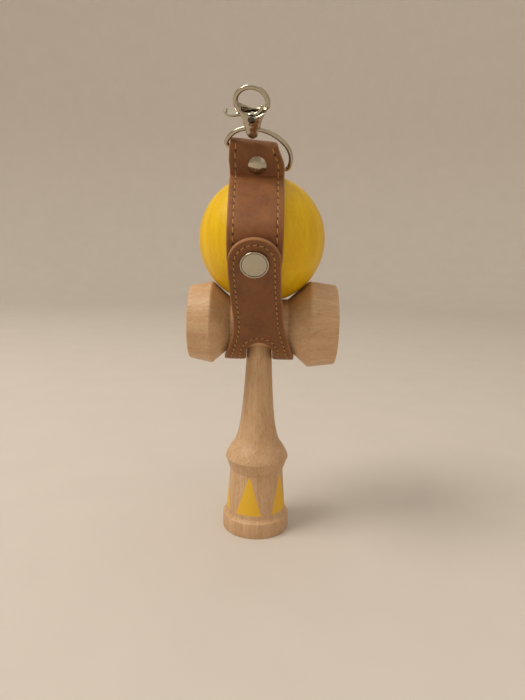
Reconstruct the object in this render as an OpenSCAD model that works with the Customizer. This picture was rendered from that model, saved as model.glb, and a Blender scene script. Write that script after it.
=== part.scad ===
// Kendama in a sewn leather holster with a snap flap, a ring and a trigger clasp.
// Origin at the middle of the base rim, +Z up, front at -Y, millimetres.

/* [Ball] */
// Diameter of the ball
ball_d = 60; // [56:0.5:64]
// Mouth diameter of the spike hole in the ball
ball_hole_d = 22; // [19:0.5:23]
// Width lost by the spike hole over its depth
ball_hole_taper = 5; // [1:0.5:7]
// Gap between the ball and the cup shoulders that it rests on
ball_rest_gap = 0.15; // [0.1:0.05:0.4]

/* [Ken] */
// Diameter of the base rim
base_d = 34; // [31:0.5:36]
// Height of the base rim band
base_rim_h = 8; // [6:0.5:10]
// Diameter of the base body just above the rim
base_body_d = 30.5; // [28:0.5:31.5]
// Diameter of the base body just under the bead
base_top_d = 27; // [25:0.5:28]
// Largest diameter of the bead
bead_d = 32; // [30:0.5:34]
// Height of the bead's widest line
bead_z = 38.3; // [36:0.1:41]
// Height of the bead's bevelled face under its widest line
bead_face_h = 6; // [5:0.5:7]
// Height of the rounded shoulder above the bead's widest line
bead_shoulder_h = 8.6; // [7.5:0.1:9.5]
// Depth of the dish in the base
base_cup_depth = 8; // [6:0.5:10]
// Shaft diameter just under the crosspiece
neck_d = 12.2; // [11:0.1:13.5]
// Growth of the shaft radius from the neck down to the bead
shaft_taper = 2.3; // [1.8:0.1:2.8]
// Extra radius of the flare at the top of the shoulder
flare_r = 2.7; // [2.2:0.1:3.2]
// Height in which the flare fades
flare_fade = 9; // [7:0.5:11]
// Height of the spike's tip
spike_z = 162.5; // [157:0.5:164]
// Diameter of the spike's rounded tip
spike_tip_d = 5; // [4:0.5:7]

/* [Crosspiece] */
// Height of the crosspiece axis
cross_z = 106.8; // [104:0.1:110]
// Diameter of the waist between the cups
waist_d = 24; // [21:0.2:25]
// Distance of the small cup's shoulder from the middle
small_edge_x = 23.1; // [22:0.1:24.5]
// Diameter of the small cup's shoulder
small_edge_d = 40; // [38:0.5:42]
// Distance of the small cup's rim from the middle
small_rim_x = 34; // [31:0.5:36]
// Diameter of the small cup's rim
small_rim_d = 35.8; // [34:0.2:38]
// Depth of the small cup
small_cup_depth = 9.5; // [7:0.5:12]
// Distance of the big cup's shoulder from the middle
big_edge_x = 23.7; // [22.5:0.1:25]
// Diameter of the big cup's shoulder
big_edge_d = 42; // [40:0.5:44]
// Distance of the big cup's rim from the middle
big_rim_x = 36.6; // [34:0.5:39]
// Diameter of the big cup's rim
big_rim_d = 39; // [37:0.5:41]
// Depth of the big cup
big_cup_depth = 11; // [8:0.5:13]
// Width of the turned lip around each cup
cup_lip = 1.6; // [1.2:0.1:2.4]
// Rise of the shoulder cones per millimetre along the axis
cone_slope = 0.88; // [0.8:0.02:1]
// Diameter of the string holes
string_d = 3; // [2:0.25:4]
// Radial clearance of the shaft in the crosspiece
wood_fit = 0.05; // [0.02:0.01:0.1]

/* [Holster] */
// Thickness of the outer leather
outer_t = 1.2; // [0.9:0.05:1.5]
// Thickness of the lining leather
lining_t = 1.1; // [0.8:0.05:1.4]
// Glue line between the two leathers
glue_t = 0.05; // [0.03:0.01:0.1]
// Width of the strap over the ball
strap_w = 24; // [21:0.5:25]
// Width of the flap
flap_w = 22.8; // [20:0.2:24]
// Width of the holster where it passes under the crosspiece
under_w = 34.2; // [30:0.2:35]
// Width of the holster where the flap starts
flap_root_w = 27.8; // [26:0.2:29]
// Length over which the flap narrows
flare_l = 15; // [12:0.5:20]
// Gap between the leather and the wood
leather_gap = 0.3; // [0.2:0.05:0.6]
// Sideways offset of the strap on the ball
strap_shift = -2.7; // [-4:0.1:0]
// Gap at each cut fold line
fold_gap = 0.3; // [0.2:0.05:0.6]
// Height of the flap's fold above the start of the flat flap
flap_fold_s = 6; // [5:0.5:9]
// Top of the shaft opening above the start of the flat flap
arch_s = 1; // [0:0.5:2]
// Gap between the shaft and the opening
slot_gap = 0.4; // [0.3:0.05:1]
// Radius of the strap's bend above the snap
strap_bend_r = 9; // [6:0.5:12]

/* [Top loop] */
// Angle of the loop on the ball, from level at the front
loop_angle = 62; // [56:1:68]
// Width of the loop at its top
loop_top_w = 19.4; // [18.6:0.2:20]
// Gap between the rivet's back cap and the bend at the loop's foot
rivet_gap = 0.05; // [0.05:0.05:0.2]
// Diameter of the rivet's caps
rivet_d = 8; // [7:0.25:8.5]
// Height of the rivet's caps
rivet_h = 1.7; // [1.2:0.1:2.2]
// Diameter of the rivet's post
rivet_post_d = 2; // [1.6:0.1:2.2]

/* [Snap] */
// Distance of the snap above the start of the flat flap
snap_s = 43; // [41:0.5:45]
// Distance of the round tip's centre above the snap
tip_offset = 0; // [0:0.1:2]
// Diameter of the snap's cap
snap_d = 12.5; // [11:0.25:13.5]
// Height of the snap's cap
snap_h = 1.5; // [1.1:0.1:2]
// Space between flap and strap at the snap
snap_space = 2; // [1.8:0.1:2.6]
// Diameter of the socket ring
socket_d = 10.5; // [9.5:0.25:11.5]
// Thickness of the socket ring
socket_t = 1.2; // [1:0.05:1.3]
// Outer diameter of the cap's tube
cap_tube_d = 6.4; // [6:0.1:7]
// Wall of the cap's tube
cap_tube_t = 0.4; // [0.3:0.05:0.5]
// Diameter of the stud's plate
stud_d = 9; // [8:0.25:10]
// Thickness of the stud's plate and of the post's head
plate_t = 0.5; // [0.35:0.05:0.6]
// Diameter of the stud's knob
knob_d = 4.4; // [4:0.1:4.6]
// Height of the stud's knob
knob_h = 1.3; // [1:0.05:1.4]
// Diameter of the snap's post
snap_post_d = 2.5; // [2:0.1:2.8]
// Radial clearance of posts in their holes
post_fit = 0.05; // [0.02:0.01:0.1]

/* [Ring] */
// Wire diameter of the ring
ring_wire_d = 1.9; // [1.6:0.1:2]
// Clear width inside the ring
ring_in_w = 27.1; // [27:0.1:29]
// Height of the ring from bar to top, wire centres
ring_h = 13.4; // [13.2:0.1:14]
// Bend radius of the ring's corners
ring_corner = 1.6; // [1.4:0.1:1.7]
// Sideways offset of the ring from the strap's middle
ring_shift = -0.2; // [-0.3:0.05:0]
// Sideways tilt of the ring's bar
ring_tilt = 21; // [18:0.5:22.5]
// Lean of the ring forward of the loop
ring_lean = 18; // [12:1:26]
// Gap around the ring's bar
ring_gap = 0.25; // [0.25:0.05:0.4]
// Room left in the loop above the tilted bar
loop_room = 0.1; // [0.1:0.05:0.4]

/* [Clasp] */
// Place of the clasp along the ring's arc
clasp_place = 21; // [10:1:25]
// Lean of the clasp forward of the ring
clasp_lean = 4; // [0:1:10]
// Gap between the clasp's eye and the ring
eye_gap = 0.45; // [0.4:0.05:0.6]
// Length of the straight part of the eye
eye_l = 1.6; // [1.2:0.1:2]
// Metal below the eye
eye_t = 1.5; // [1.3:0.1:1.7]
// Width of the clasp's body at its foot
foot_w = 6.7; // [6:0.1:7.4]
// Width of the clasp's body at its shoulders
shoulder_w = 10.2; // [9.8:0.1:10.8]
// Height of the middle of the body's hollow top above the eye
floor_z = 8; // [7.8:0.1:8.4]
// Height of the hook's middle above the eye
hook_z = 11.7; // [11.5:0.1:12.2]
// Radius of the hook, wire centre
hook_r = 6.45; // [6.4:0.05:6.7]
// Wire diameter of the hook
hook_wire_d = 2; // [1.8:0.1:2.2]
// Height of the trigger's pin above the eye
pin_z = 5.4; // [5.3:0.1:5.6]
// Diameter of the trigger's pin
pin_d = 1.4; // [1.2:0.1:1.5]
// Radial running clearance of the trigger on its pin
pin_fit = 0.05; // [0.03:0.01:0.1]
// Thickness of the clasp's body
body_t = 4.8; // [4.6:0.1:5.4]
// Thickness of the trigger
trigger_t = 2.2; // [2:0.1:2.4]
// Gap on each side of the trigger
trigger_gap = 0.2; // [0.15:0.05:0.25]
// Reach of the thumb tab from the clasp's middle
tab_reach = 11.6; // [10.8:0.1:12.4]
// Width of the thumb tab
tab_w = 4; // [3.4:0.1:4.8]
// Thickness of the thumb tab
tab_t = 1.5; // [1.2:0.1:1.7]
// Wire diameter of the trigger's spring
spring_wire_d = 0.3; // [0.25:0.05:0.35]

/* [Hidden] */
$fn = 96;
beech = "#d8b589";
yellow = "#e9ae12";
tan_leather = "#85532d";
lining_leather = "#a67a52";
nickel = "#c9c6bd";

// Rounding of the turned wooden edges
edge = 0.4;
// Lengths shared by several pieces
ball_r = ball_d / 2;
neck_r = neck_d / 2;
leather_t = outer_t + glue_t + lining_t;
leather_r = ball_r + leather_gap;
cone_k = sqrt(1 + cone_slope * cone_slope);
small_r = small_edge_d / 2;
big_r = big_edge_d / 2;
rest_small = (ball_r + ball_rest_gap) * cone_k + small_r - cone_slope * small_edge_x;
rest_big = (ball_r + ball_rest_gap) * cone_k + big_r - cone_slope * big_edge_x;
ball_h = max(rest_small, rest_big);
ball_z = cross_z + ball_h;
waist_r = waist_d / 2;
neck_z = cross_z - waist_r - 1.6;
spike_foot_z = cross_z + waist_r;
shaft_z = bead_z + bead_shoulder_h;
ball_hole_top = spike_z + 2;

// Holster path in the YZ plane: points are [y, z], angles run from level at the front, upwards
under_small = small_r - cone_slope * (small_edge_x - under_w / 2);
under_big = big_r - cone_slope * (big_edge_x - under_w / 2);
wrap_r = max(under_small, under_big) + leather_gap;
flap_far = leather_r + leather_t + snap_space;
flap_lean = asin((flap_far - wrap_r) / ball_h);
back_lean = asin((leather_r - wrap_r) / ball_h);
loop_half = ring_wire_d / 2 + ring_gap;
// Inner bend radius at the loop's foot
crease_in = 0.3;
crease_r = leather_t + crease_in;
crease_t = -(loop_half + crease_r);
crease_h = sqrt(pow(leather_r + crease_r, 2) - crease_t * crease_t);
rivet_r = crease_h + rivet_d / 2 + rivet_gap;
slot_r = neck_r + slot_gap;
strap_start = loop_angle - asin((loop_half + leather_t + fold_gap) / leather_r);
snap_up = snap_s - ball_h * cos(flap_lean);
strap_flat_to = snap_up + stud_d / 2 + 0.3;
strap_turn = 2 * atan(strap_flat_to / (leather_r - strap_bend_r));
strap_leave = strap_turn - flap_lean;
socket_hole_r = cap_tube_d / 2 + post_fit;

// Ring and clasp
wire_r = ring_wire_d / 2;
ring_half = ring_in_w / 2 + wire_r;
bar_r = rivet_r + rivet_post_d / 2 + ring_gap + wire_r / cos(ring_tilt) - ring_shift * tan(ring_tilt);
loop_turn_r = bar_r + loop_top_w / 2 * tan(ring_tilt) + loop_room;
loop_top_r = loop_turn_r + loop_half + leather_t;
side_turn = 60;
// How far the beads at the ring's joints stand out of the wire
ring_bead = 0.03;
side_k = tan(45 - side_turn / 2);
side_r = (ring_h - ring_corner - side_k * ring_half) / (1 - side_k);
top_off = (ring_half - side_r) / cos(side_turn);
top_r = side_r + top_off;
top_z = ring_corner - top_off * sin(side_turn);
eye_r = wire_r + eye_gap;
tail_z = -(eye_l + eye_r + eye_t);
hook_wire_r = hook_wire_d / 2;
hook_in = hook_r - hook_wire_r;
hook_out = hook_r + hook_wire_r;
hook_gap_turn = 8;
pin_r = pin_d / 2;
slot_half = trigger_t / 2 + trigger_gap;
boss_r = pin_r + 1.15;
pocket_r = boss_r - 0.45;
pocket_t = trigger_t / 2;
coil_r = pin_r + pin_fit + spring_wire_d / 2 + 0.15;

function way(a) = [-cos(a), sin(a)];
function ease(u) = let (k = min(1, max(0, u))) k * k * (3 - 2 * k);
function turn(a, b, n, from = 0) = [for (i = [from:n]) a + (b - a) * i / n];
function flap_mid(s) = strap_shift * ease(s / snap_s);
function flap_half(s) = let (k = max(0, 1 - s / flare_l))
    flap_w / 2 + (flap_root_w - flap_w) / 2 * k * k;

cross_p = [0, cross_z];
ball_p = [0, ball_z];
flap_n = way(-flap_lean);
flap_u = [-sin(flap_lean), cos(flap_lean)];
flap_p = cross_p + wrap_r * flap_n;
loop_n = way(loop_angle);
loop_t = way(loop_angle - 90);
crease_p = ball_p + crease_h * loop_n + crease_t * loop_t;
crease_from = loop_angle + asin((loop_half + crease_r) / (leather_r + crease_r));
loop_p = ball_p + loop_turn_r * loop_n;

// Stations of a leather strip: [inner point, outward direction]
lip_top = flap_fold_s - fold_gap / 2;
holster_way = concat(
    [[flap_p + lip_top * flap_u, flap_n]],
    [for (a = turn(flap_lean, 180 - back_lean, 26)) [cross_p + wrap_r * way(-a), way(-a)]],
    [for (a = turn(180 + back_lean, crease_from, 28)) [ball_p + leather_r * way(a), way(a)]],
    [for (a = turn(crease_from, loop_angle + 90, 8, 1)) [crease_p - crease_r * way(a), way(a)]],
    [for (a = turn(loop_angle + 90, loop_angle - 90, 18)) [loop_p + loop_half * way(a), way(a)]],
    [[ball_p + leather_r * loop_n + loop_half * loop_t, loop_t]]
);
bend_p = ball_p
    + (leather_r - strap_bend_r) / cos(strap_turn / 2) * way(strap_leave - strap_turn / 2);
front_way = concat(
    [for (a = turn(strap_start, strap_leave, 6)) [ball_p + leather_r * way(a), way(a)]],
    [for (a = turn(strap_leave, -flap_lean, 12)) [bend_p + strap_bend_r * way(a), way(a)]],
    [[ball_p + leather_r * flap_n + (snap_up - strap_w) * flap_u, flap_n]]
);

// One leather layer seen from the side, between two depths from the inner face
module layer(stations, lo, hi) {
    last = len(stations) - 1;
    polygon(concat([for (k = stations) k[0] + lo * k[1]],
        [for (i = [0:last]) stations[last - i][0] + hi * stations[last - i][1]]));
}

// Plan of the fixed strip seen from the front: wide under the crosspiece, narrow over the ball
function under_half(a) = flap_root_w / 2
    + (under_w - flap_root_w) / 2 * sin(90 * (a - flap_lean) / (90 - flap_lean));
function side_half(s) = s < flap_fold_s ? flap_half(s)
    : strap_w / 2 + (flap_half(flap_fold_s) - strap_w / 2) * (1 - ease((s - flap_fold_s) / flare_l));
module holster_plan() {
    low = cross_z - wrap_r - 2 * leather_t;
    high = ball_z + loop_top_r + strap_w;
    rows = concat([[0, under_w / 2, low]],
        [for (a = turn(90, flap_lean, 12)) [0, under_half(a), cross_z - (wrap_r + leather_t / 2) * sin(a)]],
        [for (s = turn(0, snap_s, 18, 1)) [flap_mid(s), side_half(s), flap_p.y + s * flap_u.y]],
        [[strap_shift, strap_w / 2, ball_z + leather_r + leather_t],
         [strap_shift, loop_top_w / 2, ball_z + loop_top_r * loop_n.y],
         [strap_shift, loop_top_w / 2, high]]);
    last = len(rows) - 1;
    polygon(concat([for (k = rows) [k[0] + k[1], k[2]]],
        [for (i = [0:last]) let (k = rows[last - i]) [k[0] - k[1], k[2]]]));
}

// Frame of the flat flap: inner face at Y = 0, up the flap is Z
module flap_frame() {
    translate([0, flap_p.x, flap_p.y]) rotate([flap_lean, 0, 0]) children();
}

// Frame of the snap: inner face of the flap at Z = 0, Z points outwards
module snap_frame() {
    flap_frame() translate([strap_shift, 0, snap_s]) rotate([90, 0, 0]) children();
}

// Frame of the top loop: Z away from the ball's middle, -Y towards the front
module loop_frame() {
    translate([0, 0, ball_z]) rotate([90 - loop_angle, 0, 0]) children();
}

// Frame of the rivet: Z towards the front, Z = 0 midway between the loop's layers
module rivet_frame() {
    loop_frame() translate([strap_shift, 0, rivet_r]) rotate([90, 0, 0]) children();
}

// Frame of the ring: bar along X, ring standing in XZ
module ring_frame() {
    loop_frame() translate([strap_shift + ring_shift, 0, bar_r]) rotate([0, ring_tilt, 0])
        rotate([ring_lean, 0, 0]) children();
}

// Frame of the clasp: eye at the origin, hook up Z, front at -Y
module clasp_frame() {
    ring_frame() translate([-top_r * sin(clasp_place), 0, top_z + top_r * cos(clasp_place)])
        rotate([0, -clasp_place, 0]) rotate([clasp_lean, 0, 0]) children();
}

// Shape drawn in XZ, as thick as asked and centred on Y
module upright(thick) {
    rotate([90, 0, 0]) translate([0, 0, -thick / 2]) linear_extrude(thick) children();
}

// Shape drawn in YZ, as long as asked and centred on X
module along_x(length) {
    rotate([90, 0, 90]) translate([0, 0, -length / 2]) linear_extrude(length) children();
}

// Low dome on the plane Z = 0
module dome(d, h) {
    r = (d * d / 4 + h * h) / (2 * h);
    intersection() {
        translate([0, 0, h - r]) sphere(r);
        cylinder(d = d + 1, h = h + 1);
    }
}

// Radius of the ken between bead and neck
function shaft(z) = let (u = (z - shaft_z) / (neck_z - shaft_z))
    neck_r + shaft_taper * (1 - u) + flare_r * exp(-(z - shaft_z) / flare_fade) * (1 - pow(u, 4));
function shoulder(u) = [shaft(shaft_z) + (bead_d / 2 - shaft(shaft_z)) * (1 - u + cos(90 * u)) / 2,
    bead_z + bead_shoulder_h * u];

// Turned handle with base cup, bead and spike
module ken() {
    base_r = base_d / 2;
    cup_r = base_r - cup_lip;
    dish = (cup_r * cup_r + base_cup_depth * base_cup_depth) / (2 * base_cup_depth);
    tip_r = spike_tip_d / 2;
    face_z = bead_z - bead_face_h;
    color(beech) difference() {
        union() {
            rotate_extrude() polygon(concat(
                [[0, 0], [base_r - edge, 0], [base_r, edge], [base_r, base_rim_h - 1.1],
                 [base_r - 0.35, base_rim_h - 0.35], [base_r - 1.1, base_rim_h],
                 [base_body_d / 2 + edge, base_rim_h + edge], [base_body_d / 2, base_rim_h + 3 * edge],
                 [base_top_d / 2, face_z - edge], [base_top_d / 2 + edge, face_z],
                 [bead_d / 2 - edge, bead_z - 2 * edge]],
                [for (u = [0, 0.1, 0.2, 0.3, 0.4, 0.5, 0.6, 0.7, 0.8, 0.9]) shoulder(u)],
                [for (u = [0, 0.03, 0.06, 0.1, 0.14, 0.2, 0.26, 0.32, 0.4, 0.5, 0.6, 0.7, 0.8, 0.9, 1])
                    let (z = shaft_z + (neck_z - shaft_z) * u) [shaft(z), z]],
                [[neck_r, spike_foot_z], [tip_r, spike_z - tip_r], [0, spike_z - tip_r]]));
            translate([0, 0, spike_z - tip_r]) sphere(tip_r);
        }
        translate([0, 0, base_cup_depth - dish]) sphere(dish);
        translate([0, 0, cross_z]) rotate([90, 0, 0]) cylinder(d = string_d, h = base_d, center = true);
    }
}

// Crosspiece with the small cup at -X and the big cup at +X
module sarado() {
    small_in = small_rim_d / 2 - cup_lip;
    big_in = big_rim_d / 2 - cup_lip;
    small_dish = (small_in * small_in + small_cup_depth * small_cup_depth) / (2 * small_cup_depth);
    big_dish = (big_in * big_in + big_cup_depth * big_cup_depth) / (2 * big_cup_depth);
    small_waist = small_edge_x - (small_r - waist_r) / cone_slope;
    big_waist = big_edge_x - (big_r - waist_r) / cone_slope;
    color(beech) translate([0, 0, cross_z]) difference() {
        rotate([0, 90, 0]) rotate_extrude() polygon([
            [0, -small_rim_x], [small_rim_d / 2 - edge, -small_rim_x],
            [small_rim_d / 2, edge - small_rim_x], [small_r, -small_edge_x - edge],
            [small_r - cone_slope * edge, edge - small_edge_x], [waist_r, -small_waist],
            [waist_r, big_waist], [big_r - cone_slope * edge, big_edge_x - edge],
            [big_r, big_edge_x + edge], [big_rim_d / 2, big_rim_x - edge],
            [big_rim_d / 2 - edge, big_rim_x], [0, big_rim_x]]);
        translate([small_cup_depth - small_dish - small_rim_x, 0, 0]) sphere(small_dish);
        translate([big_rim_x + big_dish - big_cup_depth, 0, 0]) sphere(big_dish);
        cylinder(r = neck_r + wood_fit, h = big_edge_d + 2, center = true);
        rotate([-90, 0, 0]) cylinder(d = string_d, h = big_r);
    }
}

// Ball with the tapered spike hole and the string hole
module tama() {
    hole_l = ball_hole_top - ball_z + ball_r;
    color(yellow) translate([0, 0, ball_z]) difference() {
        sphere(ball_r, $fn = 144);
        translate([0, 0, -ball_r])
            cylinder(d1 = ball_hole_d, d2 = ball_hole_d - ball_hole_taper, h = hole_l);
        cylinder(d = string_d, h = ball_r + 1);
        mouth = sqrt(ball_r * ball_r - pow(ball_hole_d / 2 + 1, 2));
        translate([0, 0, -mouth - 1]) cylinder(d1 = ball_hole_d + 4, d2 = ball_hole_d - 1, h = 2.5);
    }
}

// Opening for the shaft and hole for the rivet
module holster_cuts() {
    low = cross_z - wrap_r - 3 * leather_t;
    arch_z = flap_p.y + arch_s * flap_u.y - slot_r;
    upright(2 * ball_d) polygon(concat([[slot_r, low]],
        [for (a = turn(0, 180, 24)) [slot_r * cos(a), arch_z + slot_r * sin(a)]], [[-slot_r, low]]));
    rivet_frame() cylinder(d = rivet_post_d + 2 * post_fit, h = 4 * (loop_half + leather_t), center = true);
}

// One layer of the fixed strip
module holster_layer(lo, hi) {
    difference() {
        intersection() {
            along_x(3 * under_w) layer(holster_way, lo, hi);
            upright(4 * ball_d) holster_plan();
        }
        holster_cuts();
    }
}

// Outer leather of the fixed strip, from the flap's fold round to the loop
module holster_outer() {
    color(tan_leather) holster_layer(lining_t + glue_t, leather_t);
}

// Lining of the fixed strip
module holster_lining() {
    color(lining_leather) holster_layer(0, lining_t);
}

// Outline of the flap from its fold to its round tip
module flap_outline() {
    tip_s = snap_s + tip_offset;
    rows = turn(flap_fold_s + fold_gap / 2, tip_s, 16);
    polygon(concat([for (s = rows) [flap_mid(s) + flap_half(s), s]],
        [for (i = [0:16]) let (s = rows[16 - i]) [flap_mid(s) - flap_half(s), s]]));
    translate([strap_shift, tip_s]) circle(d = flap_w);
}

// One layer of the flap with its snap hole
module flap_layer(lo, hi) {
    difference() {
        flap_frame() rotate([90, 0, 0]) translate([0, 0, lo]) linear_extrude(hi - lo) flap_outline();
        snap_frame() cylinder(r = socket_hole_r, h = 4 * leather_t, center = true);
    }
}

// Outer leather of the flap
module flap_outer() {
    color(tan_leather) flap_layer(lining_t + glue_t, leather_t);
}

// Lining of the flap
module flap_lining() {
    color(lining_leather) flap_layer(0, lining_t);
}

// Plan of the front strap: round end below the snap
module strap_plan() {
    polygon(concat([[-strap_w / 2, 2 * ball_d]],
        [for (a = turn(180, 360, 36)) strap_w / 2 * [cos(a), sin(a)]],
        [[strap_w / 2, 2 * ball_d]]));
}

// One layer of the front strap with its round end and post hole
module front_layer(lo, hi) {
    inner = -snap_space - leather_t;
    difference() {
        intersection() {
            translate([strap_shift, 0, 0]) along_x(2 * strap_w) layer(front_way, lo, hi);
            snap_frame() linear_extrude(4 * ball_d, center = true) strap_plan();
        }
        snap_frame() {
            translate([0, 0, inner - 1]) cylinder(d = snap_post_d + 2 * post_fit, h = leather_t + 2);
            translate([0, 0, inner - 1]) cylinder(d = stud_d - 1 + 2 * post_fit, h = 1 + plate_t);
        }
    }
}

// Outer leather of the front strap
module front_strap_outer() {
    color(tan_leather) front_layer(lining_t + glue_t, leather_t);
}

// Lining of the front strap
module front_strap_lining() {
    color(lining_leather) front_layer(0, lining_t);
}

// Cap of the snap with the tube that holds the socket
module snap_cap() {
    tube_r = cap_tube_d / 2;
    color(nickel) snap_frame() {
        translate([0, 0, leather_t]) {
            cylinder(d = snap_d, h = snap_h / 3);
            translate([0, 0, snap_h / 3]) dome(snap_d, snap_h * 2 / 3);
        }
        translate([0, 0, -socket_t]) difference() {
            cylinder(r = tube_r, h = leather_t + socket_t);
            translate([0, 0, -1]) cylinder(r = tube_r - cap_tube_t, h = leather_t + socket_t - edge);
        }
    }
}

// Socket ring on the inside of the flap
module snap_socket() {
    color(nickel) snap_frame() translate([0, 0, -socket_t]) difference() {
        union() {
            cylinder(d = socket_d - 2 * edge, h = socket_t);
            translate([0, 0, edge]) cylinder(d = socket_d, h = socket_t - edge);
        }
        translate([0, 0, -1]) cylinder(r = socket_hole_r, h = socket_t + 2);
    }
}

// Stud on the front strap
module snap_stud() {
    post_hole_r = snap_post_d / 2 + post_fit;
    color(nickel) snap_frame() translate([0, 0, -snap_space]) difference() {
        union() {
            cylinder(d = stud_d, h = plate_t);
            cylinder(d1 = knob_d, d2 = knob_d - 0.4, h = plate_t + knob_h);
        }
        translate([0, 0, -1]) cylinder(r = post_hole_r, h = 1 + plate_t + knob_h - edge);
    }
}

// Post that holds the stud from inside the strap
module snap_post() {
    color(nickel) snap_frame() translate([0, 0, -snap_space - leather_t]) {
        cylinder(d = stud_d - 1, h = plate_t);
        cylinder(d = snap_post_d, h = leather_t + plate_t + knob_h - 2 * edge);
    }
}

// Front half of the rivet with its post
module rivet_cap() {
    face = loop_half + leather_t;
    color(nickel) rivet_frame() {
        translate([0, 0, face]) dome(rivet_d, rivet_h);
        translate([0, 0, -face - rivet_h / 3]) cylinder(d = rivet_post_d, h = 2 * face + rivet_h / 3 + edge);
    }
}

// Back half of the rivet
module rivet_back() {
    face = loop_half + leather_t;
    color(nickel) rivet_frame() mirror([0, 0, 1]) translate([0, 0, face]) difference() {
        dome(rivet_d, rivet_h);
        translate([0, 0, -1]) cylinder(d = rivet_post_d + 2 * post_fit, h = 1 + rivet_h / 3 + post_fit);
    }
}

// Piece of bent wire in XZ, from one direction to another
module bend(r, from, to, wire) {
    rotate([90, 0, 0]) rotate([0, 0, from]) rotate_extrude(angle = to - from)
        translate([r, 0]) circle(wire, $fn = 40);
}

// Wire ring in the loop
module d_ring() {
    color(nickel) ring_frame() {
        rotate([0, 90, 0]) cylinder(r = wire_r, h = 2 * (ring_half - ring_corner), center = true);
        for (m = [0, 1]) mirror([m, 0, 0]) {
            translate([ring_half - ring_corner, 0, ring_corner]) bend(ring_corner, -90, 0, wire_r);
            translate([ring_half - side_r, 0, ring_corner]) bend(side_r, 0, side_turn, wire_r);
            for (p = [[ring_half - ring_corner, 0, 90], [ring_half, ring_corner, 0],
                      [ring_half - side_r * (1 - cos(side_turn)), ring_corner + side_r * sin(side_turn), -side_turn]])
                translate([p[0], 0, p[1]]) rotate([0, p[2], 0]) sphere(wire_r + ring_bead, $fn = 48);
        }
        translate([0, 0, top_z]) bend(top_r, side_turn, 180 - side_turn, wire_r);
    }
}

// Opening of the clasp: inside of the hook down to the hollow top of the body
module clasp_mouth() {
    floor_r = 9;
    intersection() {
        translate([0, hook_z]) circle(hook_in);
        translate([0, floor_z + floor_r]) circle(floor_r);
    }
}

// Front outline of the clasp's body
module clasp_front() {
    tail_r = 1.5;
    difference() {
        union() {
            polygon([[-foot_w / 2, 0.4], [0.04 - tail_r, tail_z + tail_r + 0.1],
                     [tail_r - 0.04, tail_z + tail_r + 0.1], [foot_w / 2, 0.4],
                     [shoulder_w / 2, floor_z - 1], [shoulder_w / 2, floor_z + 1],
                     [-shoulder_w / 2, floor_z + 1], [-shoulder_w / 2, floor_z - 1]]);
            translate([0, tail_z + tail_r]) circle(tail_r, $fn = 48);
            intersection() {
                translate([0, hook_z]) circle(hook_out);
                translate([-hook_out, 0]) square([2 * hook_out, floor_z + 1.6]);
            }
        }
        clasp_mouth();
    }
}

// Side outline of the clasp's body
module clasp_side() {
    half = body_t / 2;
    thin = hook_wire_r + 0.15;
    translate([0, tail_z + half]) circle(half, $fn = 48);
    polygon([[-half, tail_z + half], [half, tail_z + half], [half, floor_z - 0.6],
             [thin, floor_z + 2], [-thin, floor_z + 2], [-half, floor_z - 0.6]]);
}

// Body of the clasp with its cross-drilled eye, slot and fixed hook
module clasp_body() {
    low = pin_z - boss_r - 0.3;
    color(nickel) clasp_frame() {
        difference() {
            intersection() {
                upright(2 * body_t) clasp_front();
                along_x(3 * hook_out) clasp_side();
            }
            along_x(3 * hook_out) {
                circle(eye_r, $fn = 48);
                translate([0, -eye_l]) circle(eye_r, $fn = 48);
                translate([-eye_r, -eye_l]) square([2 * eye_r, eye_l]);
            }
            upright(2 * slot_half) polygon([[-2 * hook_out, low], [boss_r - 0.1, low],
                [boss_r + 0.4, pin_z - 0.2], [shoulder_w / 2 - 1.4, pin_z + 0.9],
                [shoulder_w / 2 - 0.3, floor_z - 0.1], [hook_in - 0.1, floor_z + 1.4],
                [hook_in - 0.1, hook_z], [-4, hook_z], [-4, floor_z - 0.4],
                [-2 * hook_out, floor_z - 0.4]]);
            translate([0, 0, pin_z]) rotate([90, 0, 0])
                cylinder(r = pin_r + pin_fit, h = 2 * body_t, center = true);
        }
        translate([0, 0, hook_z]) {
            bend(hook_r, -hook_gap_turn, 212, hook_wire_r);
            rotate([0, hook_gap_turn, 0]) translate([hook_r, 0, 0]) sphere(hook_wire_r, $fn = 40);
        }
    }
}

// Outline of the trigger with its gate on the right and its arm on the left
module trigger_outline() {
    arm_x = hook_out - 1;
    gate_x = hook_in - 0.5;
    translate([0, pin_z]) circle(boss_r);
    polygon([[-boss_r, pin_z - 0.2], [-arm_x, pin_z + 0.15], [-arm_x, pin_z + 1.6], [-3.5, floor_z - 0.7],
        [-2.6, floor_z + 0.7], [0, floor_z + 0.5], [2.4, floor_z + 1.2], [3.6, hook_z - 0.8],
        [gate_x, hook_z - 0.7], [gate_x, floor_z + 1.4], [shoulder_w / 2 - 0.75, floor_z - 0.1],
        [shoulder_w / 2 - 1.9, pin_z + 0.9], [boss_r, pin_z - 0.2]]);
}

// Trigger: gate, arm and thumb tab, with a pocket for its spring
module clasp_trigger() {
    tab_in = hook_out - 1.2;
    low = pin_z + 0.1;
    round_x = tab_reach - tab_t;
    color(nickel) clasp_frame() difference() {
        union() {
            upright(trigger_t) trigger_outline();
            upright(tab_w) {
                translate([-round_x, low]) square([round_x - tab_in, tab_t]);
                translate([-round_x, low + tab_t]) intersection() {
                    circle(tab_t, $fn = 48);
                    translate([-tab_t, -tab_t]) square(tab_t);
                }
                translate([-tab_reach + tab_t / 2, low + tab_t]) circle(tab_t / 2, $fn = 32);
            }
        }
        translate([0, 0, pin_z]) rotate([90, 0, 0]) {
            cylinder(r = pin_r + pin_fit, h = 2 * body_t, center = true);
            translate([0, 0, -2 * body_t]) cylinder(r = pocket_r, h = 2 * body_t);
        }
    }
}

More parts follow.
